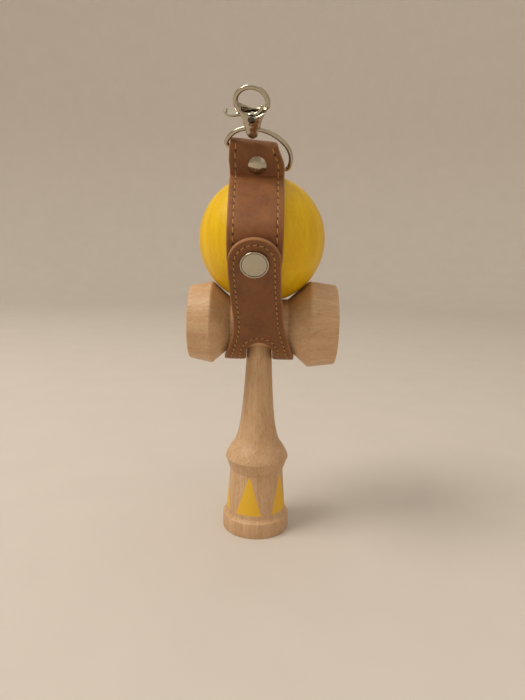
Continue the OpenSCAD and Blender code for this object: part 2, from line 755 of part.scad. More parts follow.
// Pin with a low head on each side
module clasp_pin() {
    half = body_t / 2;
    color(nickel) clasp_frame() translate([0, 0, pin_z]) rotate([90, 0, 0]) {
        cylinder(r = pin_r, h = body_t, center = true);
        for (m = [0, 1]) mirror([0, 0, m]) translate([0, 0, half]) dome(2.2 * pin_d, 0.5);
    }
}

// Coil of wire drawn as a tube through a list of points round Z
module clasp_spring() {
    steps = 44;
    sides = 8;
    pitch = (pocket_t + trigger_gap - spring_wire_d - 0.2) / 2;
    r = spring_wire_d / 2;
    points = [for (i = [0:steps]) let (a = 720 * i / steps, z = pitch * 2 * i / steps)
        for (k = [0:sides - 1]) let (w = 360 * k / sides, q = coil_r + r * cos(w))
            [q * cos(a), q * sin(a), z + r * sin(w)]];
    walls = [for (i = [0:steps - 1], k = [0:sides - 1])
        let (a = sides * i + k, b = sides * i + (k + 1) % sides)
            each [[a, b, b + sides], [a, b + sides, a + sides]]];
    last = sides * steps;
    color(nickel) clasp_frame() translate([0, 0.1 + r, pin_z]) rotate([-90, 0, 0])
        polyhedron(points, concat(walls,
            [for (k = [1:sides - 2]) [0, k + 1, k]],
            [for (k = [1:sides - 2]) [last, last + k, last + k + 1]]));
}

ken();
sarado();
tama();
holster_outer();
holster_lining();
flap_outer();
flap_lining();
front_strap_outer();
front_strap_lining();
snap_cap();
snap_socket();
snap_stud();
snap_post();
rivet_cap();
rivet_back();
d_ring();
clasp_body();
clasp_trigger();
clasp_pin();
clasp_spring();
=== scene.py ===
from math import asin, atan, cos, degrees, radians, sin, sqrt

import bpy
import numpy as np
from bpy.props import FloatProperty, FloatVectorProperty, PointerProperty
from mathutils import Matrix, Vector


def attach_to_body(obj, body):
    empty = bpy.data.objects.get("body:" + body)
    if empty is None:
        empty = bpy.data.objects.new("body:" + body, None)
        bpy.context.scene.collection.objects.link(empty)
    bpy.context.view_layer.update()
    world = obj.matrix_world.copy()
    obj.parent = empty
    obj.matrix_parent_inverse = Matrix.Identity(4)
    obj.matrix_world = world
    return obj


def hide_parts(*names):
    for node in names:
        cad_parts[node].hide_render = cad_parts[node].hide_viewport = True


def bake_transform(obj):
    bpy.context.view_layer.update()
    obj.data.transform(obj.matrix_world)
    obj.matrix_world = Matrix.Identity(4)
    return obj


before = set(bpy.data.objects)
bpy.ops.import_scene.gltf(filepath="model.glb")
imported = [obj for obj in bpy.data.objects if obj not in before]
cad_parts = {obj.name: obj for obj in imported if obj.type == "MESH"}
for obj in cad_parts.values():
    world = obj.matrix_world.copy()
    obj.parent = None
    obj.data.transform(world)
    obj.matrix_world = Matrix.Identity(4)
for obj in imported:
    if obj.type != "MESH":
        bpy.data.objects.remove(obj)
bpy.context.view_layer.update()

bl_info = {
    "name": "Kendama in a leather holster",
    "version": (1, 0, 0),
    "blender": (4, 5, 0),
    "location": "3D View > Sidebar > Kendama",
    "description": "Dresses the packed kendama in wood, leather, thread and nickel",
    "category": "Object",
}

# Lengths below are in millimetres, as in the part's source, and meshes are made in metres
MM = 0.001


def linear(code):
    """Linear RGBA of an sRGB hex code."""
    srgb = np.array([int(code[i:i + 2], 16) for i in (1, 3, 5)]) / 255
    rgb = np.where(srgb <= 0.04045, srgb / 12.92, ((srgb + 0.055) / 1.055) ** 2.4)
    return (*rgb.tolist(), 1.0)


def colour(name, text, code):
    """Colour property with its default from a hex code."""
    return FloatVectorProperty(name=name, description=text, subtype="COLOR", size=4, min=0, max=1,
                               default=linear(code))


def length(name, text, value):
    """Length property in metres with its default in millimetres."""
    return FloatProperty(name=name, description=text, default=value * MM, unit="LENGTH", precision=5)


def power(name, text, value):
    """Power property of a light."""
    return FloatProperty(name=name, description=text, default=value, unit="POWER")


class HolsterSettings(bpy.types.PropertyGroup):
    """Sizes and colours of the leather and its thread"""
    edge_round: length("Edge rounding", "Radius of the rubbed leather edges", 0.55)
    stitch_inset: length("Stitch inset", "Distance of the stitch line from the edge", 2.7)
    arch_inset: length("Arch inset", "Distance of the stitch line from the shaft's opening", 2.6)
    flap_pitch: length("Flap stitch", "Length of one stitch on the flap", 2.75)
    strap_pitch: length("Strap stitch", "Length of one stitch on the straps", 3.5)
    thread_r: length("Thread radius", "Half the thread's thickness", 0.25)
    groove: length("Groove depth", "How deep the thread pulls into the leather", 0.16)
    leather: colour("Leather", "Finished side of the leather", "#966136")
    leather_dark: colour("Leather shade", "Darker patches of the finished side", "#85522e")
    # Pale cut edge; the same colour is also painted as a highlight along the rounded rim of the finished side
    leather_edge_and_highlight: colour("Leather edge", "Rubbed cut edge", "#a9743f")
    lining: colour("Lining", "Flesh side of the leather", "#9c7048")
    thread: colour("Thread", "Waxed sewing thread", "#c39850")
    # Painted shade: the dark of the needle holes, and of the thread's ends where they sink into them
    needle_hole_shade: colour("Needle hole", "Dark of the holes between stitches", "#2a160a")


class WoodSettings(bpy.types.PropertyGroup):
    """Colours of the turned wood"""
    beech: colour("Beech", "Ground of the sanded beech", "#d9b88f")
    beech_dark: colour("Beech shade", "Darker growth rings", "#c9a078")
    fleck: colour("Fleck", "Ray flecks of the beech", "#a87b50")
    stain: colour("Stain", "Yellow stain on the ball", "#f3c806")
    stain_dark: colour("Stain shade", "Stain in the grain lines", "#dba60c")
    paint: colour("Paint", "Painted triangles on the base", "#efbd16")


class MetalSettings(bpy.types.PropertyGroup):
    """Colours of the hardware"""
    nickel: colour("Nickel", "Bright nickel plate", "#b8b09d")
    steel: colour("Steel", "Oiled steel of the pin and the spring", "#55514b")


class StageSettings(bpy.types.PropertyGroup):
    """Floor, light and camera"""
    floor: colour("Floor", "Pale floor and backdrop", "#d9d0c6")
    sky: colour("Sky", "Soft light from all sides", "#f6f2ea")
    key_power: power("Key light", "Power of the large light", 10.0)
    fill_power: power("Fill light", "Power of the weak light", 0.6)


# Helpers for meshes and materials

def plug(tree, node, inputs):
    """Link or set the inputs of a node."""
    for key, value in inputs.items():
        if isinstance(value, bpy.types.NodeSocket):
            tree.links.new(value, node.inputs[key])
        else:
            node.inputs[key].default_value = value


def add(tree, kind, inputs, output=0, **settings):
    """Add a node, set its properties, plug its inputs and give one of its outputs."""
    node = tree.nodes.new(kind)
    for key, value in settings.items():
        setattr(node, key, value)
    plug(tree, node, inputs)
    return node.outputs[output]


def noise(tree, where, size, detail=2.0, roughness=0.5, distortion=0.0):
    """Noise with features of about a size in millimetres."""
    return add(tree, "ShaderNodeTexNoise", {"Vector": where, "Scale": 1 / (size * MM), "Detail": detail,
                                            "Roughness": roughness, "Distortion": distortion})


def remap(tree, value, first, last, low=0.0, high=1.0):
    """Value taken from one range to another and held at both ends."""
    return add(tree, "ShaderNodeMapRange", {0: value, 1: first, 2: last, 3: low, 4: high})


def reckon(tree, operation, *values):
    """One step of arithmetic."""
    return add(tree, "ShaderNodeMath", dict(enumerate(values)), operation=operation)


def mix(tree, share, first, second, blend="MIX"):
    """Mix of two colours."""
    return add(tree, "ShaderNodeMix", {0: share, 6: first, 7: second}, 2, data_type="RGBA", blend_type=blend)


def scaled(tree, where, scale):
    """Places stretched along the grain."""
    return add(tree, "ShaderNodeMapping", {"Vector": where, "Scale": scale})


def rotated(tree, where, rotation):
    """Places turned about the axes, in radians."""
    return add(tree, "ShaderNodeMapping", {"Vector": where, "Rotation": rotation})


def bumped(tree, height, strength, distance):
    """Normal bent by a height, over a distance in millimetres."""
    return add(tree, "ShaderNodeBump", {"Height": height, "Strength": strength, "Distance": distance * MM})


def attribute(tree, name):
    """Value that the mesh carries."""
    return add(tree, "ShaderNodeAttribute", {}, "Fac", attribute_name=name)


def new_material(name):
    """Material with a Principled shader: the material, its tree, its shader and the object's coordinates."""
    material = bpy.data.materials.new(name)
    material.use_nodes = True
    tree = material.node_tree
    tree.nodes.clear()
    shader = tree.nodes.new("ShaderNodeBsdfPrincipled")
    plug(tree, tree.nodes.new("ShaderNodeOutputMaterial"), {"Surface": shader.outputs[0]})
    return material, tree, shader, add(tree, "ShaderNodeTexCoord", {}, "Object")


def finish_mesh(name, points, faces, material, attributes=None, sharp=50):
    """Object of a mesh in metres from points in millimetres, smooth up to the sharp angle."""
    mesh = bpy.data.meshes.new(name)
    mesh.from_pydata((np.asarray(points) * MM).tolist(), [], np.asarray(faces).tolist())
    mesh.validate()
    for key, values in (attributes or {}).items():
        layer = mesh.attributes.new(key, "FLOAT", "POINT")
        layer.data.foreach_set("value", np.asarray(values, dtype=np.float32))
    mesh.polygons.foreach_set("use_smooth", np.ones(len(mesh.polygons), dtype=bool))
    mesh.set_sharp_from_angle(angle=radians(sharp))
    mesh.materials.append(material)
    piece = bpy.data.objects.new(name, mesh)
    bpy.context.scene.collection.objects.link(piece)
    return piece


def grid_faces(rows, columns, wrap=False):
    """Quads of a grid of points stored row by row, closed round the columns where asked."""
    index = np.arange(rows * columns).reshape(rows, columns)
    after = np.roll(index, -1, axis=1)
    last = columns if wrap else columns - 1
    quads = np.stack([index[:-1], index[1:], after[1:], after[:-1]], axis=-1)
    return quads[:, :last].reshape(-1, 4)


# The holster's strip: sizes and path

OUTER_T = 1.2
GLUE_T = 0.05
LINING_T = 1.1
LEATHER_T = OUTER_T + GLUE_T + LINING_T
CROSS_Z = 106.8
BALL_H = 40.30579
BALL_Z = CROSS_Z + BALL_H
LEATHER_R = 30.3
WRAP_R = 15.492
STRAP_W = 24.0
FLAP_W = 22.8
UNDER_W = 34.2
FLAP_ROOT_W = 27.8
FLARE_L = 15.0
STRAP_SHIFT = -2.7
FOLD_S = 6.0
ARCH_S = 1.0
SLOT_R = 6.5
BEND_R = 9.0
SNAP_S = 43.0
SNAP_SPACE = 2.0
STUD_D = 9.0
LOOP_ANGLE = 62.0
LOOP_HALF = 1.2
LOOP_TOP_R = 46.493
LOOP_TOP_W = 19.4
LOOP_LEAN = 5.5
LOOP_LEAN_X = -1.4
LOOP_LEAN_H = 34.0
CREASE_R = LEATHER_T + 0.3
SEAM_H = 35.0
SNAP_HOLE_R = 3.45
STUD_EDGE = 0.3
POST_HEAD_R = 4.0
POST_DISH = 0.52
POST_DISH_W = 0.9
LINING_BEVEL = 0.25
LINING_BEVEL_W = 0.5
GROOVE_W = 0.55
RIM_PRESS = 0.14
RIPPLE_FADE = 3.0
FINE_STEP = 0.5
COARSE_STEP = 0.9

FLAP_LEAN = degrees(asin((LEATHER_R + LEATHER_T + SNAP_SPACE - WRAP_R) / BALL_H))
BACK_LEAN = degrees(asin((LEATHER_R - WRAP_R) / BALL_H))
SNAP_UP = SNAP_S - BALL_H * cos(radians(FLAP_LEAN))
STRAP_TURN = degrees(2 * atan((SNAP_UP + STUD_D / 2 + STUD_EDGE) / (LEATHER_R - BEND_R)))
STRAP_LEAVE = STRAP_TURN - FLAP_LEAN
CREASE_TURN = degrees(asin((LOOP_HALF + CREASE_R) / (LEATHER_R + CREASE_R)))
CREASE_H = sqrt((LEATHER_R + CREASE_R) ** 2 - (LOOP_HALF + CREASE_R) ** 2)


def way(angle):
    """Unit (y, z) direction at an angle in degrees from level at the front, upwards."""
    turn = np.radians(angle)
    return np.stack([-np.cos(turn), np.sin(turn)], axis=-1)


def ease(share):
    """Smooth step from 0 to 1."""
    k = np.clip(share, 0, 1)
    return k * k * (3 - 2 * k)


CROSS_P = np.array([0, CROSS_Z])
BALL_P = np.array([0, BALL_Z])
FLAP_N = way(-FLAP_LEAN)
FLAP_U = way(90 - FLAP_LEAN)
FLAP_P = CROSS_P + WRAP_R * FLAP_N
LOOP_N = way(LOOP_ANGLE)
LOOP_T = way(LOOP_ANGLE - 90)


def arc(centre, radius, first, last):
    """Inner points and outward normals on an arc; a negative radius bends the strip the other way."""
    normals = way(np.linspace(first, last, int(abs(last - first)) + 3))
    return centre + radius * normals, normals


def straight(start, end, normal):
    """Inner points and outward normals on a straight stretch."""
    points = np.linspace(start, end, int(np.linalg.norm(end - start)) + 3)
    return points, np.repeat(normal[None], len(points), axis=0)


def strip_path():
    """Stations of the whole strip from beyond the flap's tip to beyond the front strap's end.

    Straight stretches and arcs follow one another. The station is the length along the middle of the
    leather, with 0 where the flap's flat meets the wrap under the crosspiece and negative up the flap.
    """
    bend_p = BALL_P + (LEATHER_R - BEND_R) / cos(radians(STRAP_TURN / 2)) * way(STRAP_LEAVE - STRAP_TURN / 2)
    back_crease = BALL_P + CREASE_H * LOOP_N - (LOOP_HALF + CREASE_R) * LOOP_T
    front_crease = BALL_P + CREASE_H * LOOP_N + (LOOP_HALF + CREASE_R) * LOOP_T
    loop_p = BALL_P + (LOOP_TOP_R - LOOP_HALF - LEATHER_T) * LOOP_N
    tip = FLAP_P + (SNAP_S + FLAP_W) * FLAP_U
    end = BALL_P + LEATHER_R * FLAP_N + (SNAP_UP - STRAP_W) * FLAP_U
    wrap = arc(CROSS_P, WRAP_R, -FLAP_LEAN, BACK_LEAN - 180)
    ball = arc(BALL_P, LEATHER_R, 180 + BACK_LEAN, LOOP_ANGLE + CREASE_TURN)
    fold = arc(back_crease, -CREASE_R, LOOP_ANGLE + CREASE_TURN, LOOP_ANGLE + 90)
    loop = arc(loop_p, LOOP_HALF, LOOP_ANGLE + 90, LOOP_ANGLE - 90)
    front = arc(front_crease, -CREASE_R, LOOP_ANGLE - 90, LOOP_ANGLE - CREASE_TURN)
    strap = arc(BALL_P, LEATHER_R, LOOP_ANGLE - CREASE_TURN, STRAP_LEAVE)
    bend = arc(bend_p, BEND_R, STRAP_LEAVE, -FLAP_LEAN)
    parts = [straight(tip, FLAP_P, FLAP_N), wrap, straight(wrap[0][-1], ball[0][0], wrap[1][-1]), ball, fold,
             straight(fold[0][-1], loop[0][0], -LOOP_T), loop,
             straight(loop[0][-1], front[0][0], LOOP_T), front, strap, bend,
             straight(bend[0][-1], end, FLAP_N)]
    points = np.concatenate([p for p, n in parts])
    normals = np.concatenate([n for p, n in parts])
    middle = points + LEATHER_T / 2 * normals
    steps = np.linalg.norm(np.diff(middle, axis=0), axis=1)
    keep = np.concatenate([[True], steps > 1e-6])
    station = np.concatenate([[0], np.cumsum(steps)])[keep] - (SNAP_S + FLAP_W)
    return station, points[keep], normals[keep]


STATION, PATH, NORMAL = strip_path()


def place(s, x, depth):
    """Points in space of strip places: station, distance across and depth from the inner face.

    Towards its top the loop is pulled to the left and slopes, so that its left corner stands higher.
    """
    ny = np.interp(s, STATION, NORMAL[:, 0])
    nz = np.interp(s, STATION, NORMAL[:, 1])
    size = np.hypot(ny, nz)
    y = np.interp(s, STATION, PATH[:, 0]) + depth * ny / size
    z = np.interp(s, STATION, PATH[:, 1]) + depth * nz / size
    above = y * LOOP_N[0] + (z - BALL_Z) * LOOP_N[1]
    pull = ease((above - LOOP_LEAN_H) / (LOOP_TOP_R - LOOP_LEAN_H))
    lift = -(x - STRAP_SHIFT) * np.tan(np.radians(LOOP_LEAN)) * pull
    return np.stack([x + LOOP_LEAN_X * pull, y + lift * LOOP_N[0], z + lift * LOOP_N[1]], axis=-1)


def nearest_station(point, first, last):
    """Station between two others whose middle is nearest to a (y, z) point."""
    s = np.linspace(first, last, 4001)
    middle = place(s, 0 * s, LEATHER_T / 2)[:, 1:]
    return s[np.argmin(np.linalg.norm(middle - point, axis=1))]


# Marks along the strip
WRAP_MID_R = WRAP_R + LEATHER_T / 2
UNDER_S = radians(90 - FLAP_LEAN) * WRAP_MID_R
SEAM_S = nearest_station(BALL_P + SEAM_H * LOOP_N + (LOOP_HALF + LEATHER_T / 2) * LOOP_T,
                         STATION[-1] - 100, STATION[-1])
SNAP_END_S = nearest_station(BALL_P + (LEATHER_R + LEATHER_T / 2) * FLAP_N + SNAP_UP * FLAP_U,
                             STATION[-1] - 40, STATION[-1])
ARCH_TOP_Z = FLAP_P[1] + ARCH_S * FLAP_U[1]
ARCH_MID_Z = ARCH_TOP_Z - SLOT_R
ARCH_TURN = degrees(asin((CROSS_Z - ARCH_MID_Z) / WRAP_MID_R))
FRONT_ARCH_S = radians(ARCH_TURN - FLAP_LEAN) * WRAP_MID_R
BACK_ARCH_S = radians(180 - ARCH_TURN - FLAP_LEAN) * WRAP_MID_R
FRONT_ARCH_A = FRONT_ARCH_S + ARCH_S
BACK_TOP_TURN = 180 - degrees(asin((CROSS_Z - ARCH_TOP_Z) / WRAP_MID_R))
BACK_ARCH_A = radians(BACK_TOP_TURN - FLAP_LEAN) * WRAP_MID_R - BACK_ARCH_S


def flap_half(up):
    """Half the flap's width at a height above its root."""
    k = np.clip(1 - up / FLARE_L, 0, None)
    return FLAP_W / 2 + (FLAP_ROOT_W - FLAP_W) / 2 * k * k


def under_half(turn):
    """Half the strip's width under the crosspiece at a turn in degrees."""
    share = (turn - FLAP_LEAN) / (90 - FLAP_LEAN)
    return FLAP_ROOT_W / 2 + (UNDER_W - FLAP_ROOT_W) / 2 * np.sin(np.radians(90 * np.clip(share, 0, 1)))


def plan_rows():
    """Height, middle and half width of the fixed strip, seen from the front."""
    turn = np.linspace(90, FLAP_LEAN, 40)
    up = np.linspace(0, SNAP_S, 60)[1:]
    root = flap_half(FOLD_S)
    side = np.where(up < FOLD_S, flap_half(up),
                    STRAP_W / 2 + (root - STRAP_W / 2) * (1 - ease((up - FOLD_S) / FLARE_L)))
    z = np.concatenate([CROSS_Z - WRAP_MID_R * np.sin(np.radians(turn)), FLAP_P[1] + up * FLAP_U[1],
                        [BALL_Z + LEATHER_R + LEATHER_T, BALL_Z + LOOP_TOP_R * LOOP_N[1]]])
    middle = np.concatenate([0 * turn, STRAP_SHIFT * ease(up / SNAP_S), [STRAP_SHIFT, STRAP_SHIFT]])
    half = np.concatenate([under_half(turn), side, [STRAP_W / 2, LOOP_TOP_W / 2]])
    return z, middle, half


def outline(s):
    """Middle and half width of the strip at each station, before round ends."""
    z, middle, half = plan_rows()
    height = place(s, 0 * s, LEATHER_T / 2)[:, 2]
    mid = np.interp(height, z, middle)
    wide = np.interp(height, z, half)
    flap = s < 0
    mid = np.where(flap, STRAP_SHIFT * ease(-s / SNAP_S), mid)
    wide = np.where(flap, flap_half(-s), wide)
    strap = s > SEAM_S
    return np.where(strap, STRAP_SHIFT, mid), np.where(strap, STRAP_W / 2, wide)


def arch_share(s):
    """How far each station lies past the middle of its arch: 0 between the arches, 1 at an arch's top."""
    front = np.clip((FRONT_ARCH_S - s) / FRONT_ARCH_A, 0, None)
    back = np.clip((s - BACK_ARCH_S) / BACK_ARCH_A, 0, None)
    return np.maximum(front, back)


def slot_half(s):
    """Half width of the shaft's opening at each station: straight below, arched at both ends."""
    return SLOT_R * np.sqrt(np.clip(1 - arch_share(s) ** 2, 0, None))


def slot_distance(s, x):
    """Distance of strip places from the edge of the shaft's opening."""
    return SLOT_R * (np.hypot(arch_share(s), x / SLOT_R) - 1)


def cut_edge(s, x, away):
    """Distance of strip places from the nearest cut edge, the opening's included."""
    return np.minimum(away, np.clip(slot_distance(s, x), 0, None))


def rows(kind, step):
    """Stations of a piece's rows, closer round the arches, and its round tip: station, way on and radius."""
    arch = np.sin(np.radians(np.linspace(0, 90, 15)))
    front = FRONT_ARCH_S - FRONT_ARCH_A * arch
    back = BACK_ARCH_S + BACK_ARCH_A * arch
    if kind == "flap":
        first, last, extra, tip = -SNAP_S, UNDER_S, front, (-SNAP_S, -1, FLAP_W / 2)
    elif kind == "holster":
        first, last, extra, tip = UNDER_S, SEAM_S, back, None
    else:
        first, last, extra, tip = SEAM_S, SNAP_END_S, np.array([]), (SNAP_END_S, 1, STRAP_W / 2)
    even = np.linspace(first, last, int((last - first) / step) + 2)
    if len(extra):
        near = (even > extra.min() - 0.2) & (even < extra.max() + 0.2) & (even != first) & (even != last)
        even = even[~near]
    s = np.sort(np.concatenate([even, extra]))
    return (s[::-1] if tip and tip[1] < 0 else s), tip


def round_tip(tip, sign, inset=0.0):
    """Places round one half of a tip, a distance inside its edge."""
    station, way_on, radius = tip
    turn = np.radians(np.linspace(0, 90, 40))[1:]
    ring = np.stack([way_on * np.sin(turn), sign * np.cos(turn)], axis=-1)
    return np.array([station, STRAP_SHIFT]) + (radius - inset) * ring


def half_grid(kind, sign, step, columns):
    """Places of one half of a piece: rows run from the outer edge to the middle or to the opening.

    Each row is a straight line from a point on the edge to a point on the middle line. Round a tip all
    rows end at the tip's centre. Columns stand at fixed distances near both ends of the row.
    """
    s, tip = rows(kind, step)
    mid, wide = outline(s)
    slot = slot_half(s)
    outer = np.stack([s, mid + sign * wide], axis=-1)
    inner = np.stack([s, np.where(slot > 1e-6, sign * slot, mid)], axis=-1)
    if tip:
        round_end = round_tip(tip, sign)
        outer = np.concatenate([outer, round_end])
        inner = np.concatenate([inner, np.repeat([[tip[0], STRAP_SHIFT]], len(round_end), axis=0)])
    span = np.linalg.norm(outer - inner, axis=1)[:, None]
    first, last, between = columns
    first, last = np.array(first), np.array(last)
    share = np.linspace(0, 1, between + 2)[1:-1]
    middle = first[-1] + share * (span - first[-1] - last[0])
    away = np.concatenate([np.repeat(first[None], len(span), 0), middle, span - last], axis=1)
    share = (away / span)[..., None]
    places = outer[:, None] * (1 - share) + inner[:, None] * share
    return places, away


# Columns of a row: distances from the outer edge, distances from its inner end, and how many between
FINE = ((0, 0.06, 0.16, 0.3, 0.5, 0.8, 1.2, 1.6, 1.95, 2.2, 2.4, 2.55, 2.7, 2.85, 3, 3.2, 3.5, 4),
        (4, 3.5, 3.1, 2.8, 2.6, 2.4, 2.1, 1.6, 1.1, 0.7, 0.4, 0.2, 0.08, 0), 6)
COARSE = ((0, 0.15, 0.4, 1), (1, 0.4, 0.15, 0), 6)


def flat_piece(kind, step, columns):
    """Flat mesh of a piece: places, triangles facing outwards and distances from the outer edge."""
    halves = [half_grid(kind, sign, step, columns) for sign in (-1, 1)]
    shape = halves[0][0].shape[:2]
    faces = grid_faces(*shape)
    places = np.concatenate([h[0].reshape(-1, 2) for h in halves])
    away = np.concatenate([h[1].reshape(-1) for h in halves])
    faces = np.concatenate([faces, faces + shape[0] * shape[1]])
    whole = np.round(places * 1e4).astype(np.int64)
    _, first, index = np.unique(whole, axis=0, return_index=True, return_inverse=True)
    places, away, faces = places[first], away[first], index.reshape(-1)[faces]
    triangles = np.concatenate([faces[:, [0, 1, 2]], faces[:, [0, 2, 3]]])
    a, b, c = (places[triangles[:, k]] for k in range(3))
    area = (b[:, 0] - a[:, 0]) * (c[:, 1] - a[:, 1]) - (b[:, 1] - a[:, 1]) * (c[:, 0] - a[:, 0])
    triangles = np.where(area[:, None] < 0, triangles[:, ::-1], triangles)[np.abs(area) > 1e-7]
    return places, triangles, away


def ripple(s, x):
    """Slow waves of soft leather: a few sines across the strip, in millimetres."""
    return 0.05 * np.sin(0.31 * s + 0.23 * x) + 0.04 * np.sin(0.17 * s - 0.41 * x + 1.3)


def surface(s, x, away, settings):
    """Depth of the finished side: rounded cut edges, pressed rim, stitch grooves and slow waves."""
    opening = slot_distance(s, x)
    edge = cut_edge(s, x, away)
    inset = settings.stitch_inset / MM
    radius = settings.edge_round / MM
    k = 1 - np.clip(edge / radius, 0, 1)
    drop = radius * (1 - np.sqrt(np.clip(1 - k * k, 0, None)))
    seam = np.minimum(np.abs(away - inset), np.abs(opening - settings.arch_inset / MM))
    groove = settings.groove / MM * np.exp(-(seam / GROOVE_W) ** 2)
    rim = RIM_PRESS * (1 - ease(edge / inset))
    return LEATHER_T + ripple(s, x) * ease(edge / RIPPLE_FADE) - drop - groove - rim


def shell(name, kind, lining, settings, material):
    """Closed ply of leather: a finished side, a flesh side and walls along every open edge."""
    grid = (COARSE_STEP, COARSE) if lining else (FINE_STEP, FINE)
    s_x, triangles, away = flat_piece(kind, *grid)
    if kind == "flap":
        middle = s_x[triangles].mean(axis=1)
        hole = np.hypot(middle[:, 0] + SNAP_S, middle[:, 1] - STRAP_SHIFT) < SNAP_HOLE_R
        triangles = triangles[~hole]
    used, index = np.unique(triangles, return_inverse=True)
    triangles = index.reshape(-1, 3)
    s, x, away = s_x[used, 0], s_x[used, 1], away[used]
    if lining:
        top = np.full(len(s), LINING_T)
        low = LINING_BEVEL * (1 - ease(away / LINING_BEVEL_W))
        if kind == "front_strap":
            off = np.hypot(s - SNAP_END_S, x - STRAP_SHIFT) - POST_HEAD_R
            low = np.maximum(low, POST_DISH * (1 - ease(off / POST_DISH_W)))
    else:
        top = surface(s, x, away, settings)
        low = np.full(len(s), LINING_T + GLUE_T)
    count = len(s)
    edges = np.concatenate([triangles[:, [0, 1]], triangles[:, [1, 2]], triangles[:, [2, 0]]])
    ordered = np.sort(edges, axis=1)
    _, inverse, counts = np.unique(ordered, axis=0, return_inverse=True, return_counts=True)
    rim = edges[counts[inverse.reshape(-1)] == 1]
    walls = np.concatenate([np.stack([rim[:, 0], rim[:, 0] + count, rim[:, 1] + count], axis=-1),
                            np.stack([rim[:, 0], rim[:, 1] + count, rim[:, 1]], axis=-1)])
    points = np.concatenate([place(s, x, top), place(s, x, low)])
    faces = np.concatenate([triangles, triangles[:, ::-1] + count, walls])
    attributes = {"edge_mm": np.tile(cut_edge(s, x, away), 2), "along_mm": np.tile(s, 2)}
    return finish_mesh(name, points, faces, material, attributes)


# Sewing thread

STITCH_SLANT = radians(7)
STITCH_REACH = 0.39
STITCH_RISE = 0.3
STITCH_DIP = 0.12
STITCH_FLAT = 0.75
STITCH_SUNK = 0.05
STITCH_PROBE = 0.2
# Size and lift of the dark discs that stand in for the shade inside the needle holes
NEEDLE_R = 0.4
NEEDLE_LONG = 1.1
NEEDLE_RISE = 0.085


def stitch_line(kind, settings):
    """Polyline of the seam along the cut edge of a piece, from one end round to the other."""
    inset = settings.stitch_inset / MM
    lines = []
    for sign in (-1, 1):
        s, tip = rows(kind, FINE_STEP)
        mid, wide = outline(s)
        line = np.stack([s, mid + sign * (wide - inset)], axis=-1)
        lines.append(np.concatenate([line, round_tip(tip, sign, inset)]) if tip else line)
    if kind == "holster":
        return lines
    return [np.concatenate([lines[0], lines[1][::-1][1:]])]


def arch_line(kind, settings):
    """Polyline of the seam round the shaft's opening, on one piece."""
    r = 1 + settings.arch_inset / MM / SLOT_R
    turn = np.radians(np.linspace(0, 180, 61))
    middle, tall = (FRONT_ARCH_S, -FRONT_ARCH_A * r) if kind == "flap" else (BACK_ARCH_S, BACK_ARCH_A * r)
    curve = np.stack([middle + tall * np.sin(turn), SLOT_R * r * np.cos(turn)], axis=-1)
    return np.concatenate([[[UNDER_S, curve[0, 1]]], curve, [[UNDER_S, curve[-1, 1]]]])


def spaced(line, pitch):
    """Even stitches on a polyline: their middles, places just behind and ahead, and their real length."""
    fine = np.concatenate([[0.0], np.cumsum(np.linalg.norm(np.diff(line, axis=0), axis=1))])
    count = max(1, round(fine[-1] / pitch))
    at = (np.arange(count) + 0.5) * fine[-1] / count
    near = [np.stack([np.interp(at + off, fine, line[:, k]) for k in (0, 1)], axis=-1)
            for off in (0, -STITCH_PROBE, STITCH_PROBE)]
    return near, fine[-1] / count


def unit(vectors):
    """Vectors brought to length 1."""
    return vectors / np.linalg.norm(vectors, axis=1)[:, None]


